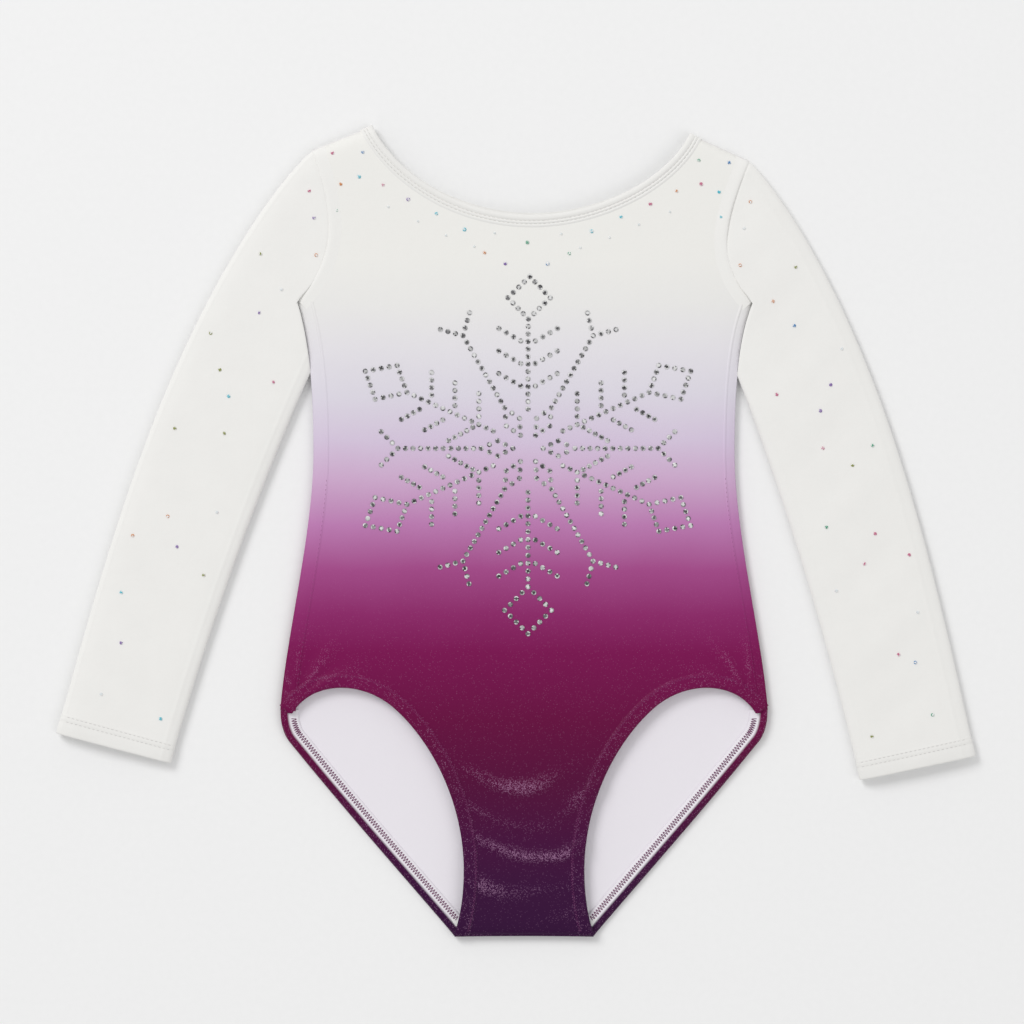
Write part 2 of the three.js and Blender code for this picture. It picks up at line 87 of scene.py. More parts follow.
# %% Pattern lines
MM = 0.001
NECK_LOW, BODY_TOP, BODY_BOTTOM = 0.209, 0.265, -0.267
NECK_HALF, SHOULDER_HALF, SHOULDER_DROP = 0.105, 0.1445, 0.017
UNDERARM = (0.1505, 0.1525)
WAIST = (0.1386, 0.052)
HIP = (0.1606, -0.118)
LEG_ARCH = (0.0838, -0.118)
CROTCH_HALF, CROTCH_END = 0.0394, 0.046
PATTERN_ORIGIN = np.array([5.36, -0.33]) * MM


def bezier(a, b, c, d, steps):
    t = np.linspace(0, 1, steps + 1)[:, None]
    a, b, c, d = (np.array(p, float) for p in (a, b, c, d))
    return (1 - t) ** 3 * a + 3 * (1 - t) ** 2 * t * b + 3 * (1 - t) * t * t * c + t ** 3 * d


def chain(*lines):
    return np.vstack([lines[0]] + [line[1:] for line in lines[1:]])


def mirrored(line):
    return line[::-1] * np.array([-1, 1])


def line_length(line):
    return float(np.linalg.norm(np.diff(line, axis=0), axis=1).sum())


neck_half = bezier((0, NECK_LOW), (0.0504, NECK_LOW), (0.0924, 0.2381), (NECK_HALF, BODY_TOP), 40)
shoulder_end = (SHOULDER_HALF, BODY_TOP - SHOULDER_DROP)
shoulder_line = bezier((NECK_HALF, BODY_TOP), (0.118, 0.2594), (0.131, 0.2538), shoulder_end, 10)
armhole_line = bezier(shoulder_end, (0.1312, 0.2136), (0.122, 0.1821), UNDERARM, 40)
side_line = chain(
    bezier(UNDERARM, (0.1416, 0.1285), (WAIST[0], 0.095), WAIST, 40),
    bezier(WAIST, (WAIST[0], 0.0), (0.157, -0.07), HIP, 50),
)
front_leg_line = chain(
    bezier((0.1536, -0.120), (0.1406, -0.098), (0.1058, -0.097), LEG_ARCH, 40),
    bezier(LEG_ARCH, (0.0598, -0.140), (CROTCH_HALF, -0.180), (CROTCH_HALF, -0.224), 50),
    bezier((CROTCH_HALF, -0.224), (CROTCH_HALF, -0.242), (0.042, -0.256), (CROTCH_END, BODY_BOTTOM), 14),
)
back_leg_line = chain(
    bezier(HIP, (0.1608, -0.126), (0.159, -0.133), (0.1556, -0.138), 10),
    bezier((0.1556, -0.138), (0.1186, -0.184), (0.082, -0.225), (CROTCH_END, BODY_BOTTOM), 70),
)
print("side seam:", round(line_length(side_line), 3), "m")

# %% [markdown]
# ## How it was laid down
# Nobody lays a garment down perfectly straight. The yoke of this one leans a little towards
# the wearer's left, so pattern points are moved: not at all at the waist, and most at the neck.

# %% Lay the pattern on the table
LEAN_STARTS, YOKE_SHIFT, YOKE_TURN = 0.120, 4.65 * MM, 0.0253


def smoothstep(value, start, end):
    t = np.clip((value - start) / (end - start), 0, 1)
    return t * t * (3 - 2 * t)


def lie(points):
    points = np.asarray(points, float)
    t = smoothstep(points[..., 1], LEAN_STARTS, BODY_TOP)
    x = points[..., 0] + YOKE_SHIFT * t
    y = points[..., 1] - YOKE_TURN * points[..., 0] * t
    return np.stack([x, y], axis=-1) + PATTERN_ORIGIN


def half_width(y):
    inside = np.interp(-y, -side_line[:, 1], side_line[:, 0])
    above = UNDERARM[0] + 0.25 * (y - UNDERARM[1])
    return np.where(y > UNDERARM[1], above, np.where(y < HIP[1], HIP[0], inside))


# %% [markdown]
# ## How high the two layers stand
# The layers meet at the sides and stand a little apart between them, like a flat pillow.
# `openness` is 0 at the sides and ends, and 1 in the middle. The same rule serves both panels,
# so that they always meet. Soft folds are added to the height, never to the outline.

# %% Heights of the layers
CLOTH, PUFF, LAYER_GAP = 0.8 * MM, 3.05 * MM, 0.3 * MM
SEAM_LEVEL = CLOTH + PUFF + LAYER_GAP / 2
SHOULDER_ROUNDING, CROTCH_ROUNDING = 0.024, 0.016
CREASE_RISE, PUCKER_RISE, DRAPE_RISE = 1.3 * MM, 0.6 * MM, 0.28 * MM
CREASE_BOW, CREASE_SPACING = 0.016, 0.025


def rounded(inset, width):
    return np.sqrt(1 - (1 - np.clip(inset / width, 0, 1)) ** 4)


def openness(points):
    x, y = np.abs(points[..., 0]), points[..., 1]
    side = np.sqrt(1 - np.minimum(1, x / half_width(y)) ** 8)
    shoulder = BODY_TOP - (x - NECK_HALF) * SHOULDER_DROP / (SHOULDER_HALF - NECK_HALF)
    ends = rounded(shoulder - y, SHOULDER_ROUNDING) * rounded(y - BODY_BOTTOM, CROTCH_ROUNDING)
    return side * ends


def ripple(x, y, angle, wavelength, phase=0.0):
    along = x * math.cos(angle) + y * math.sin(angle)
    return np.sin(2 * math.pi * along / wavelength + phase)


def crotch_creases(points):
    """From 0 to 1, how near each point is to the crest of a crease across the crotch."""
    x, y = points[..., 0], points[..., 1]
    bow = y + CREASE_BOW * np.cos(np.pi * x / 0.09)
    crotch = smoothstep(-y, 0.140, 0.175) * smoothstep(y, -0.262, -0.235)
    wave = np.cos(2 * np.pi * bow / CREASE_SPACING + 1.1 * np.sin(x * 50 + y * 60))
    wave += 0.5 * np.sin(2 * np.pi * (bow + 0.25 * x) / 0.041)
    return crotch * np.clip(wave / 1.5, 0, 1) ** 1.6


def hip_puckers(points):
    """From -1 to 1: fine folds that fan out from each hip, where the leg elastic pulls."""
    out, up = np.abs(points[..., 0]) - 0.150, points[..., 1] + 0.112
    reach = np.hypot(out, up)
    fan = np.sin(np.arctan2(up, -out) * 13 + 25 * reach)
    return fan * np.exp(-((reach - 0.020) / 0.022) ** 2)


def front_folds(points):
    """The small creases of an empty garment: across the crotch and out from the hips."""
    x, y = points[..., 0], points[..., 1]
    drape = ripple(x, y, 1.2, 0.11) * ripple(x, y, 0.2, 0.17, 1.0)
    small = CREASE_RISE * crotch_creases(points) + PUCKER_RISE * hip_puckers(points)
    return small + DRAPE_RISE * drape


def front_height(points):
    top = SEAM_LEVEL + LAYER_GAP / 2 + CLOTH + PUFF * openness(points)
    return top + front_folds(points) * smoothstep(openness(points), 0.3, 0.9)


def back_height(points):
    """The height of the back panel's lower face, which lies on the table."""
    return SEAM_LEVEL - LAYER_GAP / 2 - CLOTH - PUFF * openness(points)


sample = np.array([[0.0, 0.0], [0.13, 0.0], [0.1386, 0.052]])
print("front heights in mm:", (front_height(sample) / MM).round(2))

# %% [markdown]
# ## Finishes: printed cloth
# The body is velour printed with an ombre, from white at the chest through lavender and
# magenta to dark purple at the crotch. The print follows the garment's length, so a colour ramp
# reads the Y of the object. Foil dots are a Voronoi pattern in which only a few cells light up.
# On the crease crests more and brighter dots are painted highlight, besides the printed foil.
# A mesh attribute says where the cloth shows its pale inside, so one cloth has two faces.

# %% Helpers for materials


def linear(red, green, blue):
    def one(value):
        value /= 255
        return value / 12.92 if value <= 0.04045 else ((value + 0.055) / 1.055) ** 2.4
    return (one(red), one(green), one(blue), 1.0)


def new_material(name, **inputs):
    material = bpy.data.materials.new(name)
    material.use_nodes = True
    shader = material.node_tree.nodes["Principled BSDF"]
    for key, value in inputs.items():
        shader.inputs[key.replace("_", " ")].default_value = value
    return material, material.node_tree, shader


def feed(tree, socket, value):
    """Give a socket a constant value, or join it to another node's output."""
    if isinstance(value, bpy.types.NodeSocket):
        tree.links.new(value, socket)
    else:
        socket.default_value = value


def add_node(tree, kind, settings=None, **inputs):
    node = tree.nodes.new(kind)
    for key, value in (settings or {}).items():
        setattr(node, key, value)
    for key, value in inputs.items():
        feed(tree, node.inputs[key.replace("_", " ")], value)
    return node


def maths(tree, operation, *values):
    node = add_node(tree, "ShaderNodeMath", {"operation": operation})
    for socket, value in zip(node.inputs, values):
        feed(tree, socket, value)
    return node.outputs[0]


def map_range(tree, value, **limits):
    return add_node(tree, "ShaderNodeMapRange", Value=value, **limits).outputs["Result"]


def attribute_value(tree, name):
    return add_node(tree, "ShaderNodeAttribute", {"attribute_name": name}).outputs["Fac"]


def object_position(tree):
    return add_node(tree, "ShaderNodeTexCoord").outputs["Object"]


def noise(tree, scale, detail):
    return add_node(tree, "ShaderNodeTexNoise", Vector=object_position(tree), Scale=scale,
                    Detail=detail).outputs["Fac"]


def bump(tree, height, strength, distance, **under):
    """A bumped normal, over the Normal of an earlier bump if one is given."""
    return add_node(tree, "ShaderNodeBump", Height=height, Strength=strength, Distance=distance,
                    **under).outputs["Normal"]


def mix_colour(tree, factor, first, second):
    node = add_node(tree, "ShaderNodeMix", {"data_type": "RGBA"})
    for index, value in ((0, factor), (6, first), (7, second)):
        feed(tree, node.inputs[index], value)
    return node.outputs[2]


def colour_ramp(tree, value, stops, steps="LINEAR"):
    """The colour at a value, from (place, colour) stops."""
    node = add_node(tree, "ShaderNodeValToRGB")
    node.color_ramp.interpolation = steps
    while len(node.color_ramp.elements) < len(stops):
        node.color_ramp.elements.new(0.5)
    for element, (place, colour) in zip(node.color_ramp.elements, stops):
        element.position = place
        element.color = linear(*colour)
    tree.links.new(value, node.inputs["Fac"])
    return node.outputs["Color"]


def knit_bump(tree, shader, wale, depth, soft_scale=90.0):
    """Fine ribs of knitted cloth, a wale apart, with a softer unevenness and a short pile."""
    ribs = add_node(tree, "ShaderNodeTexWave", {"wave_type": "BANDS", "bands_direction": "X"},
                    Vector=object_position(tree), Scale=0.314 / wale, Distortion=1.2, Detail=1.0,
                    Detail_Scale=2.0)
    normal = bump(tree, ribs.outputs["Fac"], 0.25, depth)
    normal = bump(tree, noise(tree, soft_scale, 4.0), 0.35, 0.0006, Normal=normal)
    normal = bump(tree, noise(tree, 1400.0, 2.0), 0.3, depth, Normal=normal)
    tree.links.new(normal, shader.inputs["Normal"])


# %% The ombre print
OMBRE = (  # height up the body in metres, and the printed colour there
    (-0.262, (50, 4, 54)), (-0.235, (56, 4, 56)), (-0.205, (68, 2, 58)),
    (-0.165, (84, 0, 56)), (-0.125, (102, 0, 62)), (-0.080, (122, 10, 80)),
    (-0.055, (140, 38, 104)), (-0.025, (163, 74, 137)), (0.005, (188, 124, 178)),
    (0.035, (206, 171, 205)), (0.060, (213, 197, 220)), (0.090, (221, 216, 227)),
    (0.120, (229, 226, 231)), (0.150, (235, 234, 232)), (0.180, (239, 238, 234)),
)
RAMP_BOTTOM, RAMP_TOP = -0.280, 0.200
DYE_WOBBLE = 0.006
FOIL_DOTS_PER_METRE = 2300.0


def ombre_colour(tree):
    """The printed colour at this height, a little uneven at its edges as dye is."""
    height = add_node(tree, "ShaderNodeSeparateXYZ", Vector=object_position(tree)).outputs["Y"]
    uneven = maths(tree, "MULTIPLY_ADD", noise(tree, 22.0, 3.0), DYE_WOBBLE, height)
    place = map_range(tree, uneven, From_Min=RAMP_BOTTOM, From_Max=RAMP_TOP)
    stops = [((level + DYE_WOBBLE / 2 - RAMP_BOTTOM) / (RAMP_TOP - RAMP_BOTTOM), colour)
             for level, colour in OMBRE]
    return colour_ramp(tree, place, stops), height


def foil_dots(tree, share, height):
    """1 on a few small foil cells below the white of the chest, and on more of them on a crease, as a
    painted highlight.
    """
    cells = add_node(tree, "ShaderNodeTexVoronoi", {"feature": "F1"},
                     Vector=object_position(tree), Scale=FOIL_DOTS_PER_METRE)
    # Each cell's random value: cells over the limit show as printed foil dots, on crease crests also as
    # painted highlight.
    glint_tone = add_node(tree, "ShaderNodeSeparateColor", Color=cells.outputs["Color"]).outputs[0]
    # Painted highlight: on crease crests the limit drops, so more foil cells show there.
    foil_and_glint_limit = map_range(tree, attribute_value(tree, "crease"), To_Min=1 - share, To_Max=0.55)
    low = map_range(tree, height, From_Min=0.02, From_Max=-0.09)
    return maths(tree, "MULTIPLY", maths(tree, "GREATER_THAN", glint_tone, foil_and_glint_limit), low)


def printed_cloth(name, foil_share, foil_strength):
    material, tree, shader = new_material(
        name, Roughness=0.5, Specular_IOR_Level=0.14, Sheen_Weight=0.04, Sheen_Roughness=0.4,
        Sheen_Tint=linear(235, 160, 225))
    colour, height = ombre_colour(tree)
    # Painted highlight: the foil dots are stronger on crease crests; elsewhere they are printed foil.
    foil_and_glint_strength = map_range(tree, attribute_value(tree, "crease"), To_Min=foil_strength, To_Max=0.34)
    strength = maths(tree, "MULTIPLY", foil_dots(tree, foil_share, height), foil_and_glint_strength)
    dotted = mix_colour(tree, strength, colour, linear(225, 170, 215))
    both = mix_colour(tree, attribute_value(tree, "inside"), dotted, linear(236, 232, 238))
    tree.links.new(both, shader.inputs["Base Color"])
    knit_bump(tree, shader, 0.0007, 0.00010)
    return material


PRINT = printed_cloth("ombre_velour", 0.03, 0.08)
HEM_PRINT = printed_cloth("ombre_hem", 0.07, 0.18)

# %% [markdown]
# ## Finishes: white cloth, thread, elastic and stones
# The sleeves and the hems at the neck and wrists are the same velour without ink. Thread is
# slightly shiny and darker in its twists. Each facet of a stone carries a painted glint in an
# attribute: painted reflections stand for foil behind cut glass flashing light and dark.

# %% White cloth


def white_cloth(name, colour, wale=0.0007):
    material, tree, shader = new_material(
        name, Roughness=0.62, Specular_IOR_Level=0.3, Sheen_Weight=0.3, Sheen_Roughness=0.5)
    shade = [c * 0.985 for c in colour]
    mixed = mix_colour(tree, noise(tree, 60.0, 5.0), linear(*shade), linear(*colour))
    tree.links.new(mixed, shader.inputs["Base Color"])
    knit_bump(tree, shader, wale, 0.00009, soft_scale=120.0)
    return material


WHITE = white_cloth("white_velour", (241, 240, 237))
WHITE_HEM = white_cloth("white_hem", (238, 237, 234), wale=0.0005)
WHITE_SEAM = white_cloth("serged_seam", (233, 231, 230), wale=0.0012)
ELASTIC = white_cloth("knitted_elastic", (242, 242, 240), wale=0.0016)


def thread(name, colour, shine=0.35):
    material, tree, shader = new_material(name, Roughness=shine, Specular_IOR_Level=0.5)
    twist = noise(tree, 2600.0, 2.0)
    dark = [c * 0.75 for c in colour]
    mixed = mix_colour(tree, twist, linear(*dark), linear(*colour))
    tree.links.new(mixed, shader.inputs["Base Color"])
    tree.links.new(bump(tree, twist, 0.5, 0.0001), shader.inputs["Normal"])
    return material


WHITE_THREAD = thread("white_thread", (229, 227, 224))
PLUM_THREAD = thread("plum_thread", (128, 62, 108))
GLITTER_THREAD = thread("glitter_thread", (150, 74, 128), shine=0.22)
print("finishes:", len(bpy.data.materials))

# %% [markdown]
# ## Cutting cloth: an outline filled with triangles
# Cloth is a thin sheet with a face and a back. Blender could fill an outline with one big
# face, but a sheet needs points inside it before it can bend. So a grid of points is laid
# inside the outline and joined by a Delaunay triangulation, which keeps the cut edge exact.

# %% Helpers for lines and sheets
SHARP_ANGLE = math.radians(55)


def resample(line, step):
    lengths = np.concatenate([[0], np.cumsum(np.linalg.norm(np.diff(line, axis=0), axis=1))])
    count = max(2, int(round(lengths[-1] / step)) + 1)
    places = np.linspace(0, lengths[-1], count)
    return np.stack([np.interp(places, lengths, line[:, i]) for i in range(line.shape[1])], axis=1)


def to_the_right(line):
    along = np.gradient(line, axis=0)
    along /= np.linalg.norm(along, axis=1)[:, None]
    return np.stack([along[:, 1], -along[:, 0]], axis=1)


def inside_outline(points, outline):
    x, y = points[:, 0], points[:, 1]
    inside = np.zeros(len(points), bool)
    for (x1, y1), (x2, y2) in zip(outline, np.roll(outline, -1, axis=0)):
        if y1 != y2:
            crossing = ((y1 > y) != (y2 > y)) & (x < (x2 - x1) * (y - y1) / (y2 - y1) + x1)
            inside ^= crossing
    return inside


def clear_of_edge(points, outline, distance):
    return np.array([np.hypot(*(outline - place).T).min() > distance for place in points])


def fill_outline(outline, spacing):
    """Points and triangles of a sheet with this cut edge."""
    low, high = outline.min(axis=0), outline.max(axis=0)
    rows = np.arange(low[1], high[1], spacing * 0.866)
    grid = []
    for i, y in enumerate(rows):
        xs = np.arange(low[0] + (i % 2) * spacing / 2, high[0], spacing)
        grid.append(np.stack([xs, np.full_like(xs, y)], axis=1))
    grid = np.vstack(grid)
    grid = grid[inside_outline(grid, outline)]
    grid = grid[clear_of_edge(grid, outline, spacing * 0.62)]
    points = np.vstack([outline, grid])
    count = len(outline)
    edges = [(i, (i + 1) % count) for i in range(count)]
    made = delaunay_2d_cdt([Vector(p) for p in points], edges, [], 1, 1e-7)
    return np.array([tuple(v) for v in made[0]]), np.array(made[2], int)


def thick_sheet(points, triangles, outer, inner):
    """A closed sheet. Its outer face has inside = 0, and its inner face inside = 1."""
    count = len(points)
    flat = lie(points)
    vertices = np.vstack([np.column_stack([flat, outer]), np.column_stack([flat, inner])])
    a, b, c = (points[triangles[:, i]] for i in range(3))
    turn = (b - a)[:, 0] * (c - a)[:, 1] - (b - a)[:, 1] * (c - a)[:, 0]
    up = triangles.copy()
    up[turn < 0] = up[turn < 0][:, ::-1]
    if outer.mean() < inner.mean():
        up = up[:, ::-1]
    edges = dict.fromkeys((tri[i], tri[(i + 1) % 3]) for tri in up for i in range(3))
    rim = [(p, q) for p, q in edges if (q, p) not in edges]
    faces = [tuple(t) for t in up] + [tuple(t[::-1] + count) for t in up]
    faces += [(p, p + count, q + count, q) for p, q in rim]
    values = np.concatenate([np.zeros(count), np.ones(count)])
    return vertices, faces, values


def add_values(mesh, name, domain, values):
    attribute = mesh.attributes.new(name, "FLOAT", domain)
    attribute.data.foreach_set("value", np.asarray(values, np.float32))


def add_object(name, mesh, material):
    mesh.materials.append(material)
    mesh.update()
    piece = bpy.data.objects.new(name, mesh)
    bpy.context.scene.collection.objects.link(piece)
    return piece


def build_piece(name, parts, material):
    """One mesh object from several (vertices, faces, inside values) parts."""
    vertices, faces, values, start = [], [], [], 0
    for part_vertices, part_faces, part_values in parts:
        vertices.append(part_vertices)
        faces += [tuple(int(i) + start for i in face) for face in part_faces]
        values.append(part_values)
        start += len(part_vertices)
    mesh = bpy.data.meshes.new(name)
    mesh.from_pydata(np.vstack(vertices).tolist(), [], faces)
    add_values(mesh, "inside", "POINT", np.concatenate(values))
    mesh.polygons.foreach_set("use_smooth", [True] * len(mesh.polygons))
    piece = add_object(name, mesh, material)
    mesh.set_sharp_from_angle(angle=SHARP_ANGLE)
    return piece


# %% [markdown]
# ## The two panels
# The front is cut higher at the legs than the back, so through each leg opening the pale
# inside of the back panel shows. Both sheets come from the same lines and meet at the sides.

# %% Front and back panels
BACK_NECK_RISE = 1.5 * MM
SPACING = 0.0026


def panel_outline(neck, leg):
    half = chain(neck, shoulder_line, armhole_line, side_line)
    half = np.vstack([half, leg[1:]])
    both = np.vstack([half, mirrored(half[1:])])
    closed = resample(np.vstack([both, both[:1]]), SPACING * 0.6)
    return closed[:-1]


def panel(name, outline, outer_height, direction, node):
    points, triangles = fill_outline(outline, SPACING)
    outer = outer_height(points)
    sheet = thick_sheet(points, triangles, outer, outer - direction * CLOTH)
    piece = build_piece(name, [sheet], PRINT)
    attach(piece, "torso")
    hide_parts(node)
    return piece


back_neck_half = neck_half + np.array([0, 1.0]) * BACK_NECK_RISE * (
    1 - smoothstep(neck_half[:, 0], 0.02, NECK_HALF))[:, None]
front_outline = panel_outline(neck_half, front_leg_line)
back_outline = panel_outline(back_neck_half, back_leg_line)
front_piece = panel("front_cloth", front_outline, front_height, 1, "front_panel")
panel("back_cloth", back_outline, back_height, -1, "back_panel")

# Painted highlight: the foil dots grow denser and brighter on crease crests, so each point carries how
# near it is to a crest.
places = np.empty(3 * len(front_piece.data.vertices), np.float32)
front_piece.data.vertices.foreach_get("co", places)
pattern = places.reshape(-1, 3)[:, :2] - PATTERN_ORIGIN
crest_glint_share = crotch_creases(pattern) + 0.5 * np.clip(hip_puckers(pattern), 0, 1)
add_values(front_piece.data, "crease", "POINT", crest_glint_share)

# %% [markdown]
# ## Strips: hems, seams and ridges
# A hem is the panel's edge folded over elastic and stitched. Every hem and seam here is one
# profile swept along a pattern line, with its height taken from the panel below it, so that a
# strip always lies on its cloth. Rings run along the front, round the fold and back.

# %% Helpers for strips
FOLD_STEPS = 7


def in_metres(*pairs):
    """A profile, from distances and heights in millimetres."""
    return [(distance * MM, height * MM) for distance, height in pairs]


def left_line(line, side):
    return line if side > 0 else mirrored(line)


def strip_points(line, profile, height, sign):
    """Stations by profile points: distance from the edge, and height off the surface."""
    sideways = to_the_right(line)
    rows = []
    for distance, lift in profile:
        place = line + sideways * distance
        level = np.maximum(height(place) + sign * lift, 0.0)
        rows.append(np.column_stack([lie(place), level]))
    return np.stack(rows, axis=1)


def faces_out(part):
    """The same part, turned inside out if its volume is negative."""
    vertices, faces, values = part
    volume = 0.0
    for face in faces[:: max(1, len(faces) // 4000)]:
        a, b, c = vertices[face[0]], vertices[face[1]], vertices[face[2]]
        volume += float(np.dot(a - vertices[0], np.cross(b - vertices[0], c - vertices[0])))
    return part if volume > 0 else (vertices, [f[::-1] for f in faces], values)


def swept(grid, closed=False, inside=0.0):
    """A closed skin over stations of one closed profile, as a ring or with two ends."""
    stations, across = grid.shape[:2]
    faces = []
    for i in range(stations if closed else stations - 1):
        j = (i + 1) % stations
        for k in range(across):
            m = (k + 1) % across
            faces.append((i * across + k, i * across + m, j * across + m, j * across + k))
    if not closed:
        faces.append(tuple(range(across))[::-1])
        faces.append(tuple((stations - 1) * across + k for k in range(across)))
    values = np.broadcast_to(inside, (stations, across)).reshape(-1)
    return faces_out((grid.reshape(-1, 3), faces, values))


def fold_between(first, last, outward, bulge):
    """Stations that turn a strip over from one layer to the other."""
    stations = []
    for t in np.linspace(0, math.pi, FOLD_STEPS + 2)[1:-1]:
        share = (1 - math.cos(t)) / 2
        station = first * (1 - share) + last * share
        station[:, :2] += np.asarray(outward) * bulge * math.sin(t)
        stations.append(station)
    return np.stack(stations)


def ring(front, back, outward_last, outward_first, bulges):
    """Front stations, a fold, back stations and a second fold, as one closed ring."""
    turn = fold_between(front[-1], back[0], outward_last, bulges[0])
    home = fold_between(back[-1], front[0], outward_first, bulges[1])
    return np.concatenate([front, turn, back, home])


def ridge_profile(centre, width, height):
    """A low round ridge over a seam."""
    places = np.linspace(-0.5, 0.5, 7)
    top = [(centre + p * width, height * math.cos(math.pi * p) ** 1.2 + 0.03 * MM) for p in places]
    return top + [(centre + width / 2, -0.3 * MM), (centre - width / 2, -0.3 * MM)]


def surface_strip(line, profile, side, front=True):
    height, sign = (front_height, 1) if front else (back_height, -1)
    return swept(strip_points(left_line(line, side), profile, height, sign))


SIDES = {"left": 1, "right": -1}

# %% [markdown]
# ## Neck hem
# The neck edge is turned inward over elastic and stitched with a twin needle. That leaves a
# plump edge, then a shallow groove, and two fine ridges. The ring folds over at each shoulder.

# %% Neck hem
neck_profile = in_metres(
    (-0.5, -0.5), (-0.35, 0.05), (0.2, 0.55), (1.2, 0.85), (2.4, 0.8), (3.2, 0.45), (3.7, 0.05),
    (4.1, 0.5), (4.6, 0.62), (5.2, 0.45), (5.7, 0.02), (6.2, 0.45), (6.8, 0.55), (7.5, 0.3),
    (8.2, -0.1), (8.0, -0.95), (4.0, -1.0), (0.2, -1.0),
)
NECK_BULGE = 1.4 * MM


def whole_neck(half):
    return resample(np.vstack([mirrored(half), half[1:]]), 1.6 * MM)


neck_front = strip_points(whole_neck(neck_half), neck_profile, front_height, 1)
neck_back = strip_points(whole_neck(back_neck_half), neck_profile, back_height, -1)[::-1]
neck_grid = ring(neck_front, neck_back, (0.5, 0.9), (-0.5, 0.9), (NECK_BULGE, NECK_BULGE))
neck_hem = build_piece("neck_hem_band", [swept(neck_grid, closed=True)], WHITE_HEM)
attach(neck_hem, "torso")
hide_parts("neck_hem")
print("neck hem stations:", len(neck_grid))

# %% [markdown]
# ## Leg hems
# Each leg edge is turned over flat elastic and closed with a zigzag stitch. In front the hem
# lies print side up. At the back it lies print side down, its edge curls up into a magenta
# lip, and its pale inner side shows through the opening with the zigzag on it.

# %% Leg hems
front_leg_profile = in_metres(
    (-0.5, -0.6), (-0.35, 0.1), (0.3, 0.55), (1.6, 0.7), (3.6, 0.62), (5.6, 0.6), (7.2, 0.62),
    (8.2, 0.52), (8.9, 0.2), (9.5, -0.1), (9.3, -1.5), (7.6, -2.0), (5.0, -2.0), (2.6, -2.0),
    (1.0, -1.9), (-0.1, -1.5),
)
# The back's heights count downward from its lower face, so what lies above is negative.
back_leg_profile = in_metres(
    (-0.5, -1.0), (-0.4, -0.3), (0.4, -0.02), (1.6, 0.0), (3.6, 0.0), (5.6, 0.0), (7.2, 0.0),
    (8.2, 0.0), (9.2, -0.02), (11.5, -0.5), (11.3, -1.6), (10.2, -2.3), (7.4, -2.35), (5.3, -2.2),
    (3.9, -3.4), (0.5, -2.8),
)
FRONT_INSIDE = [0] * 10 + [1] * 4 + [0] * 2
BACK_INSIDE = [0] * 9 + [1] * 5 + [0] * 2
HIP_BULGE, CROTCH_BULGE = 1.2 * MM, 0.3 * MM


def leg_ring(side):
    front_line = resample(left_line(front_leg_line, side), 1.7 * MM)
    back_line = resample(left_line(back_leg_line, side), 1.7 * MM)
    front = strip_points(front_line, front_leg_profile, front_height, 1)
    back = strip_points(back_line, back_leg_profile, back_height, -1)[::-1]
    hip, crotch = (side * 0.9, -0.3), (side * 0.1, -1.0)
    if side > 0:
        grid = ring(front, back, crotch, hip, (CROTCH_BULGE, HIP_BULGE))
    else:
        grid = ring(front, back, hip, crotch, (HIP_BULGE, CROTCH_BULGE))
    lowest = lie(np.array([0.0, BODY_BOTTOM]))[1] - 0.6 * MM
    grid[..., 1] = np.maximum(grid[..., 1], lowest)
    inside = np.tile(np.array(FRONT_INSIDE, float), (len(grid), 1))
    middle = FOLD_STEPS // 2
    inside[len(front) + middle: len(front) + FOLD_STEPS + len(back) + middle + 1] = BACK_INSIDE
    return swept(grid, True, inside), front_line, back_line


leg_lines = {}
for name, side in SIDES.items():
    part, front_line, back_line = leg_ring(side)
    leg_lines[side] = (front_line, back_line)
    hem = build_piece(f"{name}_leg_hem_band", [part], HEM_PRINT)
    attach(hem, "torso")
    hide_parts(f"{name}_leg_hem")
print("leg hem in front:", round(line_length(front_line), 3), "m")

# %% [markdown]
# ## Seams of the body
# A serged seam has an allowance inside, and its bulk shows through the cloth as a soft ridge.
# The side seam has its ridge well inside the fold. The armhole allowance is pressed towards
# the body, so there it makes a flat raised band beside the sleeve.

# %% Seams of the body
SEAM_INSET = {1: 6.0 * MM, -1: 8.6 * MM}
roll_profile = [(1.15 * MM * math.cos(a) + 0.45 * MM, 1.15 * MM * math.sin(a)) for a in
                np.linspace(0, 2 * math.pi, 12, endpoint=False)]


def seam_level(points):
    return np.full(len(points), SEAM_LEVEL)


def edge_roll(line, side):
    """The fold where the front and back layers turn into each other."""
    return swept(strip_points(resample(left_line(line, side), 2 * MM), roll_profile, seam_level, 1))


def ridge(line, side, centre, width, height, front=True):
    return surface_strip(resample(line, 1.8 * MM), ridge_profile(centre, width, height), side, front)


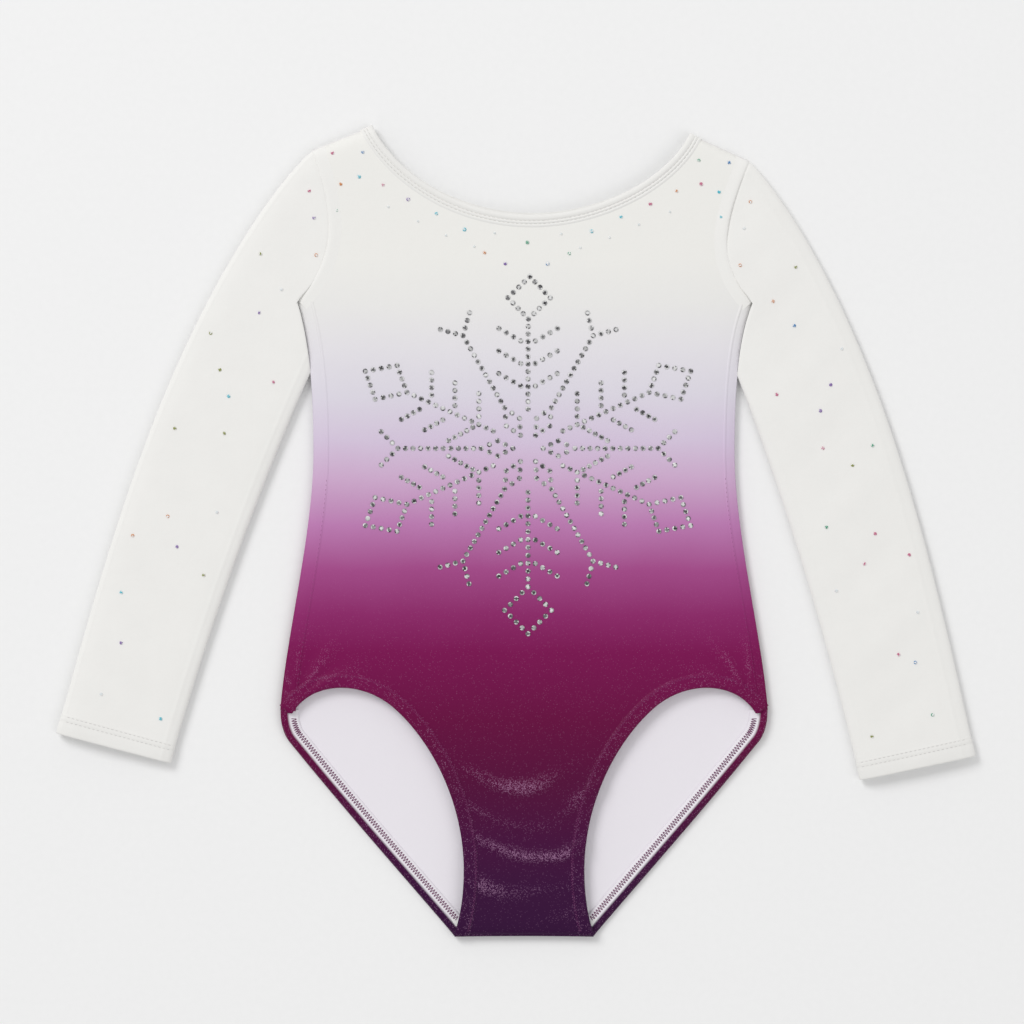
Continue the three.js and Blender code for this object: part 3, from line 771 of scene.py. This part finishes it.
armhole_profile = in_metres(
    (-0.1, -0.5), (0.0, -0.1), (0.4, 0.3), (1.2, 0.52), (2.6, 0.56), (4.2, 0.42), (6.0, 0.22),
    (7.6, 0.08), (9.0, -0.05), (8.8, -0.9), (0.2, -0.9),
)
for name, side in SIDES.items():
    side_seam = build_piece(f"{name}_side_seam_ridge", [
        edge_roll(side_line, side),
        ridge(side_line[2:], side, SEAM_INSET[side], 2.2 * MM, 0.42 * MM),
        ridge(side_line[2:], side, 7 * MM, 2.2 * MM, 0.3 * MM, front=False),
    ], PRINT)
    shoulder_roll = edge_roll(shoulder_line, side)
    shoulder_seam = build_piece(f"{name}_shoulder_seam_ridge", [shoulder_roll], WHITE_SEAM)
    armhole = resample(armhole_line, 1.6 * MM)
    armhole_seam = build_piece(f"{name}_armhole_band", [
        surface_strip(armhole, armhole_profile, side),
        surface_strip(armhole, armhole_profile, side, front=False),
    ], WHITE)
    for piece, node, finish in (
        (side_seam, "side_seam", "printed_cloth"),
        (shoulder_seam, "shoulder_seam", "white_seam"),
        (armhole_seam, "armhole_seam", "white_cloth"),
    ):
        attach(piece, "torso")
        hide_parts(f"{name}_{node}")
print("armhole seam:", round(line_length(armhole), 3), "m")

# %% [markdown]
# ## Crotch seam
# The front and back panels fold round into each other at the crotch, with the seam just
# behind. One soft roll closes the fold between the two leg hems.

# %% Crotch seam
crotch_line = bezier((CROTCH_END, BODY_BOTTOM), (0.016, BODY_BOTTOM + 0.0006),
                     (-0.016, BODY_BOTTOM + 0.0006), (-CROTCH_END, BODY_BOTTOM), 50)
crotch_profile = [(1.3 * d - 0.2 * MM, 1.35 * h) for d, h in roll_profile]
crotch_grid = strip_points(crotch_line, crotch_profile, seam_level, 1)
crotch_seam = build_piece("crotch_fold", [swept(crotch_grid)], HEM_PRINT)
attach(crotch_seam, "torso")
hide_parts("crotch_seam")

# %% [markdown]
# ## Sleeves
# A sleeve is one piece of cloth sewn into a tube, and lies as a flat tube: a fold on the
# outside and the underarm seam on the inside. Its grid runs round the tube and down it. Each
# line down it starts at the armhole or, under the arm, where it comes out from the body's side.

# %% Sleeve shape
SLEEVE_LENGTH, SLEEVE_ANGLE, CUFF_SLANT = 0.420, math.radians(22.3), 0.158
SLEEVE_BOW, SLEEVE_TOP, SLEEVE_FLARE = 0.025, 0.0578, 0.018
AROUND, DOWN = ((132, 150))
TUBE_HALF = SEAM_LEVEL
TUCK, SIDE_CLEARANCE = 0.5 * MM, 0.35 * MM
FOLD_CREASE = {1: 8.5 * MM, -1: 2.8 * MM}
SEAM_RIDGE, RIDGE_RISE, RIDGE_SPREAD = 6.6 * MM, 0.34 * MM, 0.8 * MM


def sleeve_edges(s):
    t = np.clip(s / SLEEVE_LENGTH, 0, 1.02)
    run = np.maximum(0, (t - 0.36) / 0.62)
    return SLEEVE_BOW * np.sin(np.pi * np.minimum(t, 1) ** 0.75), -SLEEVE_TOP - SLEEVE_FLARE * run ** 1.8


def sleeve_axes(side):
    """The sleeve's start at the shoulder, and its directions down and outward."""
    start = lie(np.array([side * SHOULDER_HALF, shoulder_end[1]]))
    angle = side * SLEEVE_ANGLE - YOKE_TURN
    along = np.array([math.sin(angle), -math.cos(angle)])
    return start, along, np.array([math.cos(angle), math.sin(angle)]) * side


def sleeve_place(side, s, share):
    """A point of the table under the sleeve: share is 0 at the seam and 1 at the fold."""
    fold, seam = sleeve_edges(s)
    offset = seam + (fold - seam) * share
    run = s + CUFF_SLANT * (s / SLEEVE_LENGTH) ** 2 * offset
    start, along, outward = sleeve_axes(side)
    return start + np.multiply.outer(run, along) + np.multiply.outer(offset, outward)


def shares_across(side, places):
    """How far down the sleeve each place is, and its share of the width there."""
    start, along, outward = sleeve_axes(side)
    run, offset = (places - start) @ along, (places - start) @ outward
    fold, seam = sleeve_edges(np.maximum(run, 0))
    return run, (offset - seam) / (fold - seam)


def sleeve_start(side, share):
    """How far down each column starts, its step aside there, and how soon that step fades.

    The columns start along the armhole, and below the underarm along the body's side, until
    the sleeve's own edge comes out from behind the body."""
    line = resample(left_line(armhole_line, side), 1 * MM)
    flank = resample(left_line(side_line, side), 1 * MM)
    armhole = lie(line + to_the_right(line) * TUCK)[::side]
    flank = lie(flank - to_the_right(flank) * SIDE_CLEARANCE)[::side]
    arm_run, arm_share = shares_across(side, armhole)
    flank_run, flank_share = shares_across(side, flank)
    behind = int(np.argmax(flank_share < 0)) + 1
    corner = max(float(flank_share[0]), 0.01)
    turn = int(np.argmax(arm_share < corner + 0.2))
    arm_share[turn:] = np.linspace(arm_share[turn], corner, len(arm_share) - turn)
    edge = np.vstack([armhole, flank[1:behind]])
    run = np.concatenate([arm_run, flank_run[1:behind]])
    order = np.argsort(np.concatenate([arm_share, flank_share[1:behind]]))
    across = np.concatenate([arm_share, flank_share[1:behind]])[order]
    meets = np.column_stack([np.interp(share, across, edge[order, i]) for i in (0, 1)])
    runs = np.interp(share, across, run[order])
    aside = meets - np.array([sleeve_place(side, s, c) for s, c in zip(runs, share)])
    fade = np.clip(arm_run[-1] - runs, 4 * MM, 45 * MM)
    return runs, np.column_stack([aside, fade])


def sleeve_height(side, s, share, lower=False):
    """Half the sleeve's height there, with its creases on the upper layer only."""
    fold, seam = sleeve_edges(s)
    width = fold - seam
    u = 2 * share - 1
    half = TUBE_HALF * np.sqrt(np.maximum(0, 1 - np.abs(u) ** 7))
    if lower:
        return half
    flat = smoothstep(half, TUBE_HALF * 0.5, TUBE_HALF * 0.95)
    crease = np.exp(-((width * (1 - share) - FOLD_CREASE[side]) / RIDGE_SPREAD) ** 2)
    seam_line = np.exp(-((width * share - SEAM_RIDGE) / RIDGE_SPREAD) ** 2)
    ridges = RIDGE_RISE * (crease + seam_line)
    middle = np.sin(np.pi * share)
    soft = 0.42 * MM * np.sin(2 * np.pi * (s / 0.085 + 0.5 * share + 0.2 * side)) * middle
    soft += 0.16 * MM * np.sin(2 * np.pi * (s / 0.031 + 1.3 * share)) * middle ** 2
    return half + flat * (soft - 0.2 * MM) + np.maximum(half / TUBE_HALF, 0.4) * ridges


def tube_grid(side, rows, shrink=0.0, aside=None):
    """Stations down the sleeve by points round it. rows holds each line's s values."""
    turns = np.linspace(0, 2 * math.pi, AROUND, endpoint=False)
    grid = np.zeros((rows.shape[0], AROUND, 3))
    for k, turn in enumerate(turns):
        share = 0.5 - 0.5 * math.cos(turn)
        lower = turn > math.pi
        s = rows[:, k]
        fold, seam = sleeve_edges(s)
        inset = shrink * (1 - 2 * share) / (fold - seam)
        height = sleeve_height(side, s, share, lower) * np.ones_like(s)
        height = np.maximum(height - shrink, 0.15 * MM if shrink > 0 else 0)
        grid[:, k, :2] = [sleeve_place(side, a, share + b) for a, b in zip(s, inset)]
        if aside is not None:
            fading = 1 - smoothstep(s - s[0], 0, aside[k, 2])
            grid[:, k, :2] += aside[k, :2] * fading[:, None]
            height = height - 0.6 * MM * np.exp(-(s - s[0]) / (0.9 * MM)) * (height > 1.2 * MM)
        grid[:, k, 2] = SEAM_LEVEL + (-height if lower else height)
    return grid


def tube(side, rows, aside):
    """A closed tube wall: the outer skin, the inner skin, and a rim at each end."""
    outer = tube_grid(side, rows, aside=aside)
    inner = tube_grid(side, rows, shrink=CLOTH, aside=aside)
    inside = np.repeat([0.0, 1.0], len(outer))[:, None]
    return swept(np.concatenate([outer, inner[::-1]]), True, inside)


# %% [markdown]
# ## Placing the sleeves
# To put the leotard away, each sleeve can be folded over the chest along the line from shoulder
# to underarm, and the frame gives that fold as a joint. Here the sleeve, cuff, stitches and
# crystals only read the joint and have their transforms baked into their meshes; nothing folds.

# %% Make the sleeves
joints = {joint["name"]: joint for joint in frame["joints"]}


def fold_with_sleeve(piece, name):
    joint = joints[f"{name}_sleeve_fold"]
    hinge, axis = Vector(joint["pos_m"]), Vector(joint["axis"])
    outward = axis.cross(Vector((0, 0, 1)))
    if outward.x * SIDES[name] < 0:
        outward = -outward
    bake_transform(piece)


cuff_profile = in_metres(
    (-0.4, -0.35), (-0.5, 0.0), (-0.2, 0.3), (0.8, 0.42), (4.0, 0.36), (7.8, 0.36), (8.6, 0.14),
    (9.4, 0.36), (11.2, 0.36), (11.9, 0.12), (12.6, 0.26), (13.2, -0.05), (13.0, -0.45),
    (12.8, -1.3), (0.2, -1.3),
)
turns = np.linspace(0, 2 * math.pi, AROUND, endpoint=False)
round_shares = 0.5 - 0.5 * np.cos(turns)
for name, side in SIDES.items():
    starts, aside = sleeve_start(side, round_shares)
    down = np.concatenate([[0, 0.0012, 0.0030, 0.0065], np.linspace(0.012, 1, DOWN - 4)])[:, None]
    rows = starts[None, :] + down * (SLEEVE_LENGTH - 1.0 * MM - starts[None, :])
    sleeve = build_piece(f"{name}_sleeve_cloth", [tube(side, rows, aside)], WHITE)
    cuff_rows = [tube_grid(side, np.full((1, AROUND), SLEEVE_LENGTH - distance), shrink=-lift)[0]
                 for distance, lift in cuff_profile]
    cuff_skin = swept(np.stack(cuff_rows, axis=1), closed=True)
    cuff = build_piece(f"{name}_cuff_band", [cuff_skin], WHITE_HEM)
    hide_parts(f"{name}_sleeve", f"{name}_underarm_seam")
    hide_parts(f"{name}_cuff_hem")
    fold_with_sleeve(sleeve, name)
    fold_with_sleeve(cuff, name)
    print(name, "sleeve starts by", round(float(starts.max()), 3), "m down")

# %% [markdown]
# ## Stitches
# Thread is real geometry here, because a stitch throws its own small shadow. One stitch is a
# spindle: four-sided, pointed at both ends, half sunk in the cloth. A row is a loop of them.

# %% Helpers for stitches
STITCH_STEP = 0.5 * MM


def stitch(start, end, radius):
    """A spindle of thread between two points on the cloth."""
    run = end - start
    along = run / np.linalg.norm(run)
    sideways = np.cross(along, (0, 0, 1.0))
    sideways /= np.linalg.norm(sideways)
    over = np.cross(sideways, along)
    corners = [sideways, over, -sideways, -over]
    waist = [start + run * share + corner * radius for share in (0.2, 0.8) for corner in corners]
    vertices = np.array([start - over * radius * 0.6] + waist + [end - over * radius * 0.6])
    faces = []
    for k in range(4):
        m = (k + 1) % 4
        faces += [(0, 1 + m, 1 + k), (1 + k, 1 + m, 5 + m, 5 + k), (5 + k, 5 + m, 9)]
    return faces_out((vertices, faces, np.zeros(len(vertices))))


def on_cloth(line, distance, lift, front=True):
    """Points of a row at one distance from an edge, lying on the cloth."""
    place = line + to_the_right(line) * distance
    height = front_height(place) + lift if front else back_height(place) + lift
    return np.column_stack([lie(place), height])


def running_row(points, length, gap, radius):
    """Straight stitches along points that lie a millimetre or less apart."""
    path = resample(points, STITCH_STEP)
    step = int(round((length + gap) / STITCH_STEP))
    reach = int(round(length / STITCH_STEP))
    return [stitch(path[i], path[i + reach], radius) for i in range(0, len(path) - reach, step)]


def zigzag_row(near, far, pitch, radius):
    """Slanting stitches between two rows of points of the same length."""
    count = int(line_length(near) / pitch)
    stations = np.arange(len(near))
    corners = []
    for i, place in enumerate(np.linspace(0, len(near) - 1, 2 * count + 1)):
        row = far if i % 2 else near
        corners.append(np.array([np.interp(place, stations, row[:, axis]) for axis in range(3)]))
    return [stitch(a, b, radius) for a, b in zip(corners, corners[1:])]


# %% Stitches of the leg hems, side seams and neck
ZIGZAG_PITCH = 1.9 * MM
for name, side in SIDES.items():
    front_line, back_line = leg_lines[side]
    trimmed = back_line[4:-4]
    pale = zigzag_row(on_cloth(trimmed, 5.9 * MM, 2.35 * MM, front=False),
                      on_cloth(trimmed, 10.2 * MM, 2.32 * MM, front=False), ZIGZAG_PITCH, 0.26 * MM)
    back_stitches = build_piece(f"{name}_leg_zigzag", pale, PLUM_THREAD)
    edge = zigzag_row(on_cloth(front_line[3:-3], 6.6 * MM, 0.62 * MM),
                      on_cloth(front_line[3:-3], 8.6 * MM, 0.42 * MM), ZIGZAG_PITCH, 0.13 * MM)
    front_stitches = build_piece(f"{name}_leg_coverstitch", edge, GLITTER_THREAD)
    seam = resample(left_line(side_line[len(side_line) // 2:], side), 2 * MM)
    glints = running_row(on_cloth(seam, SEAM_INSET[side], 0.42 * MM), 1.6 * MM, 1.2 * MM, 0.12 * MM)
    side_stitches = build_piece(f"{name}_side_stitches", glints, GLITTER_THREAD)
    for piece in (back_stitches, front_stitches, side_stitches):
        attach(piece, "torso")

NECK_ROWS, CUFF_ROWS = (3.7, 5.7), (8.7, 11.9)
neck_rows = []
for distance in NECK_ROWS:
    row = on_cloth(whole_neck(neck_half), distance * MM, 0.14 * MM)
    neck_rows += running_row(row, 2.2 * MM, 0.8 * MM, 0.11 * MM)
neck_stitches = build_piece("neck_twin_stitches", neck_rows, WHITE_THREAD)
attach(neck_stitches, "torso")
print("neck stitches:", len(neck_rows))

# %% Stitches of the cuffs


def on_sleeve(side, s, share, lift):
    """Points on the sleeve's upper layer, from distances down it and shares of its width."""
    s, share = np.asarray(s, float), np.asarray(share, float)
    height = np.array([sleeve_height(side, a, b) for a, b in zip(s, share)])
    places = np.array([sleeve_place(side, a, b) for a, b in zip(s, share)])
    return np.column_stack([places, SEAM_LEVEL + height + lift])


for name, side in SIDES.items():
    rows = []
    for distance in CUFF_ROWS:
        shares = np.linspace(0.035, 0.965, 90)
        path = on_sleeve(side, np.full(90, SLEEVE_LENGTH - distance * MM), shares, 0.24 * MM)
        rows += running_row(path, 2.1 * MM, 1.1 * MM, 0.15 * MM)
    cuff_stitches = build_piece(f"{name}_cuff_stitches", rows, WHITE_THREAD)
    fold_with_sleeve(cuff_stitches, name)
print("sleeve stitches:", 2 * len(rows))

# %% [markdown]
# ## Stones
# Hot-fix stones are small glass brilliants with foil behind them. Each is a cut cone here: a
# round girdle, eight facets and a flat table. Stones sparkle because facets side by side differ
# so much in brightness, so each facet gets a painted reflection: a random light or dark glint.

# %% Helpers for stones
RANDOM = np.random.default_rng(7)
FACETS = 8


def build_stones(name, places, radius, height, material):
    """One mesh of stones, with a painted glint for every facet and a hue for every stone."""
    vertices, faces, glint_tones, hues = [], [], [], []
    turns = np.linspace(0, 2 * math.pi, FACETS, endpoint=False)
    for place, hue in places:
        turned = turns + RANDOM.uniform(0, math.pi)
        circle = np.column_stack([np.cos(turned), np.sin(turned)])
        start = len(vertices)
        for scale, lift in ((1.0, -0.3), (1.0, 0.35), (0.55, 1.0)):
            vertices += [(place[0] + x * radius * scale, place[1] + y * radius * scale,
                          place[2] + height * lift) for x, y in circle]
        for k in range(FACETS):
            m = (k + 1) % FACETS
            for row in (0, FACETS):
                faces.append((start + row + k, start + row + m, start + row + FACETS + m,
                              start + row + FACETS + k))
        faces.append(tuple(start + 2 * FACETS + k for k in range(FACETS)))
        faces.append(tuple(start + k for k in range(FACETS))[::-1])
        # Painted reflections: each crown facet gets a random light or dark glint, the wall below the
        # girdle a painted dark 0.2, the table a random glint and the hidden base 0.1.
        light = RANDOM.uniform(0.0, 1.0, FACETS) ** 0.6
        glint_tones += [glint_tone for value in light for glint_tone in (0.2, value)] + [RANDOM.uniform(0.05, 1.0), 0.1]
        hues += [hue] * (2 * FACETS + 2)
    mesh = bpy.data.meshes.new(name)
    mesh.from_pydata(vertices, [], faces)
    add_values(mesh, "glint_tone", "FACE", glint_tones)
    add_values(mesh, "hue", "FACE", hues)
    return add_object(name, mesh, material)


silver, tree, shader = new_material("silver_foiled_glass", Metallic=0.55, Roughness=0.14)
# Painted reflections: each facet's glint tone picks a colour from dark grey to white.
silver_glints = colour_ramp(tree, attribute_value(tree, "glint_tone"), (
    (0.0, (52, 50, 52)), (0.35, (116, 115, 118)), (0.7, (196, 196, 196)), (1.0, (255, 255, 255))))
tree.links.new(silver_glints, shader.inputs["Base Color"])

aurora, tree, shader = new_material("aurora_glass", Metallic=0.35, Roughness=0.12)
aurora_hue = colour_ramp(tree, attribute_value(tree, "hue"), (
    (0.0, (232, 238, 240)), (0.14, (92, 196, 214)), (0.28, (70, 134, 190)), (0.42, (74, 164, 128)),
    (0.56, (150, 156, 92)), (0.68, (214, 140, 84)), (0.80, (206, 120, 150)), (0.90, (140, 112, 176)),
    (1.0, (206, 196, 160))), "CONSTANT")
# Painted glint: facets with a high glint tone are mixed towards white.
glint = map_range(tree, attribute_value(tree, "glint_tone"), From_Min=0.55, From_Max=0.9)
aurora_glints = mix_colour(tree, glint, aurora_hue, linear(250, 250, 250))
tree.links.new(aurora_glints, shader.inputs["Base Color"])

# %% [markdown]
# ## Snowflake
# The snowflake is drawn as lines, one stone every five millimetres: two upright arms with a
# diamond at the tip, four slanting arms with a leaning square, and six fine arms that fork.
# Each arm is one piece, because a transfer is pressed on arm by arm.

# %% Snowflake
FLAKE_CENTRE = np.array((2.6, 55.0)) * MM
STONE_PITCH, STONE_RADIUS, STONE_HEIGHT = 5.0, 1.72 * MM, 0.75 * MM
NEAREST = 0.7 * STONE_PITCH


def spine_arm(way):
    start, tip, diamond = (26, 85.5, 14) if way > 0 else (29, 91.5, 15.5)
    lines = [[(0, start), (0, tip)]]
    lines += [[(0, tip), (x * diamond, tip + diamond), (0, tip + 2 * diamond)] for x in (1, -1)]
    for share in (0.21, 0.46, 0.71):
        y = start + (tip - start) * share
        lines += [[(0, y), (x * 19.3, y + 11)] for x in (1, -1)]
    return [[(x, y * way) for x, y in line] for line in lines]


def slant_arm(x_way, y_way):
    lines = [[(23, 11.5), (80, 37)], [(80, 37), (86.5, 54.8), (107.5, 51), (101, 32.5), (80, 37)]]
    for twig in (32.5, 48.3, 63.7):
        height = 1.5 + twig * 0.45
        lines += [[(twig, height), (twig, height + 20)], [(twig, height), (twig + 20, height - 11)]]
    return [[(x * x_way, y * y_way) for x, y in line] for line in lines]


def fork_arm(degrees):
    turn = math.radians(degrees)
    lines = [[(10, 0), (20, 5), (31, 0), (86, 0)], [(10, 0), (20, -5), (31, 0)],
             [(86, 0), (97, 11)], [(86, 0), (97, -11)]]
    return [[(x * math.cos(turn) - y * math.sin(turn), x * math.sin(turn) + y * math.cos(turn))
             for x, y in line] for line in lines]


def stones_along(lines, taken):
    """A stone at each corner and evenly between, unless another stone is too near."""
    places = []
    for line in lines:
        for (ax, ay), (bx, by) in zip(line, line[1:]):
            count = max(1, round(math.hypot(bx - ax, by - ay) / STONE_PITCH))
            for t in np.linspace(0, 1, count + 1):
                spot = (ax + (bx - ax) * t, ay + (by - ay) * t)
                if all(math.dist(spot, other) > NEAREST for other in taken + places):
                    places.append(spot)
    return places


arms = {"top_arm": spine_arm(1), "bottom_arm": spine_arm(-1)}
for name, side in SIDES.items():
    arms[f"upper_{name}_arm"] = slant_arm(side, 1)
    arms[f"lower_{name}_arm"] = slant_arm(side, -1)
for i in range(6):
    arms[f"fine_arm_{i + 1}"] = fork_arm(60 * i)
taken = []
for name, lines in arms.items():
    spots = stones_along(lines, taken)
    taken += spots
    flat = np.array(spots) * MM + FLAKE_CENTRE
    solid = np.column_stack([lie(flat), front_height(flat)])
    arm = build_stones(f"snowflake_stones_{name}", [(p, 0.0) for p in solid],
                       STONE_RADIUS, STONE_HEIGHT, silver)
    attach(arm, "torso")
    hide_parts(f"snowflake_{name}")
print("snowflake stones:", len(taken))

# %% [markdown]
# ## Crystals
# Small aurora crystals are scattered along the neck and down the sleeves. The sleeves match,
# but for two more on the left one. Each place is a distance down the sleeve and a share of its
# width, so it stays on the cloth when the sleeve changes.

# %% Crystals
CRYSTAL_HEIGHT = 0.8 * MM
NECK_CRYSTALS = [(14, 177, 1.5), (28, 184, 1.3), (42, 199, 1.5), (61, 209, 1.3), (80, 218, 1.5),
                 (97, 227, 1.2), (113, 232, 1.5), (111, 248, 1.2), (131, 247, 1.4), (125, 227, 1.3),
                 (127, 210, 1.2), (22, 197, 1.0), (35, 188, 1.0), (54, 195, 1.0), (73, 204, 1.0),
                 (93, 213, 1.0)]
SLEEVE_CRYSTALS = [(25, 73), (40, 55), (62, 37), (76, 80), (92, 50), (112, 58), (137, 86), (157, 67),
                   (151, 24), (171, 52), (204, 82), (195, 44), (260, 63), (246, 27), (280, 85),
                   (277, 48), (289, 20), (318, 80), (350, 68), (387, 72), (392, 18)]
EXTRA_CRYSTALS = {"left": [(212, 62), (342, 56)], "right": []}

for radius in (1.0, 1.2, 1.3, 1.4, 1.5):
    spots = [(x * way, y) for x, y, size in NECK_CRYSTALS for way in (1, -1) if size == radius]
    spots += [(0, 191)] if radius == 1.5 else []
    flat = np.array(spots) * MM
    solid = np.column_stack([lie(flat), front_height(flat)])
    hues = RANDOM.uniform(0.15, 1.0, len(spots)) if radius > 1.0 else np.zeros(len(spots))
    label = f"neck_crystals_{round(radius * 20)}"
    crystals = build_stones(label, list(zip(solid, hues)), 0.85 * radius * MM, CRYSTAL_HEIGHT, aurora)
    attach(crystals, "torso")

for name in SIDES:
    spots = np.array(SLEEVE_CRYSTALS + EXTRA_CRYSTALS[name], float)
    solid = on_sleeve(SIDES[name], spots[:, 0] * MM, spots[:, 1] / 100, 0.0)
    hues = RANDOM.uniform(0.0, 1.0, len(spots))
    placed = list(zip(solid, hues))
    crystals = build_stones(f"{name}_sleeve_crystals", placed, 1.15 * MM, CRYSTAL_HEIGHT, aurora)
    fold_with_sleeve(crystals, name)
print("crystals on each sleeve:", len(SLEEVE_CRYSTALS))

# %% [markdown]
# ## What stays from the frame
# The neck and leg elastics and the crotch lining lie inside, so they stay as they were built
# and only get cloth finishes.

# %% Finishes for what stays
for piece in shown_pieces():
    if piece.get("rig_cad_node"):
        finish = WHITE_SEAM if "lining" in piece.name else ELASTIC
        piece.data.materials.clear()
        piece.data.materials.append(finish)
        print("finished:", piece.name)

# %% [markdown]
# ## Floor, light and camera
# The leotard lies on a plain pale table, under a large soft lamp at the top left and a wide,
# weaker one across from it. The camera looks straight down from three metres, so the shape on
# the table is hardly foreshortened.

# %% Floor
FLOOR_SIZE, FLOOR_LEVEL = 12.0, -0.4 * MM
bpy.ops.mesh.primitive_plane_add(size=FLOOR_SIZE, location=(0, 0, FLOOR_LEVEL))
floor = bpy.context.object
floor.name = "table"
paper, tree, shader = new_material("pale_paper", Roughness=0.9, Specular_IOR_Level=0.1)
shade = mix_colour(tree, noise(tree, 220.0, 2.0), linear(242, 242, 242), linear(245, 245, 245))
tree.links.new(shade, shader.inputs["Base Color"])
floor.data.materials.append(paper)

# %% Light


def area_light(name, place, size, power):
    light = bpy.data.lights.new(name, "AREA")
    light.shape, light.size, light.energy = "DISK", size, power
    lamp = bpy.data.objects.new(name, light)
    lamp.location = place
    lamp.rotation_euler = (Vector((0, 0, 0)) - Vector(place)).to_track_quat("-Z", "Y").to_euler()
    bpy.context.scene.collection.objects.link(lamp)
    return lamp


area_light("soft_key", (-3.4, 3.8, 4.6), 3.2, 205.0)
area_light("soft_fill", (3.8, -2.4, 5.2), 6.0, 78.0)
world = bpy.data.worlds.new("soft_room")
world.use_nodes = True
background = world.node_tree.nodes["Background"].inputs
background["Color"].default_value = (1.0, 1.0, 1.0, 1.0)
background["Strength"].default_value = 0.57
bpy.context.scene.world = world

# %% Camera
SENSOR, CAMERA_HEIGHT, VIEW_WIDTH = 36.0, 3.0, 0.6784
VIEW_CENTRE = (-0.0026, 0.0126)
camera_data = bpy.data.cameras.new("camera")
camera_data.sensor_width = SENSOR
camera_data.lens = SENSOR * CAMERA_HEIGHT / VIEW_WIDTH
camera = bpy.data.objects.new("camera", camera_data)
camera.location = (*VIEW_CENTRE, CAMERA_HEIGHT)
bpy.context.scene.collection.objects.link(camera)
bpy.context.scene.camera = camera
bpy.context.scene.view_settings.view_transform = "Standard"
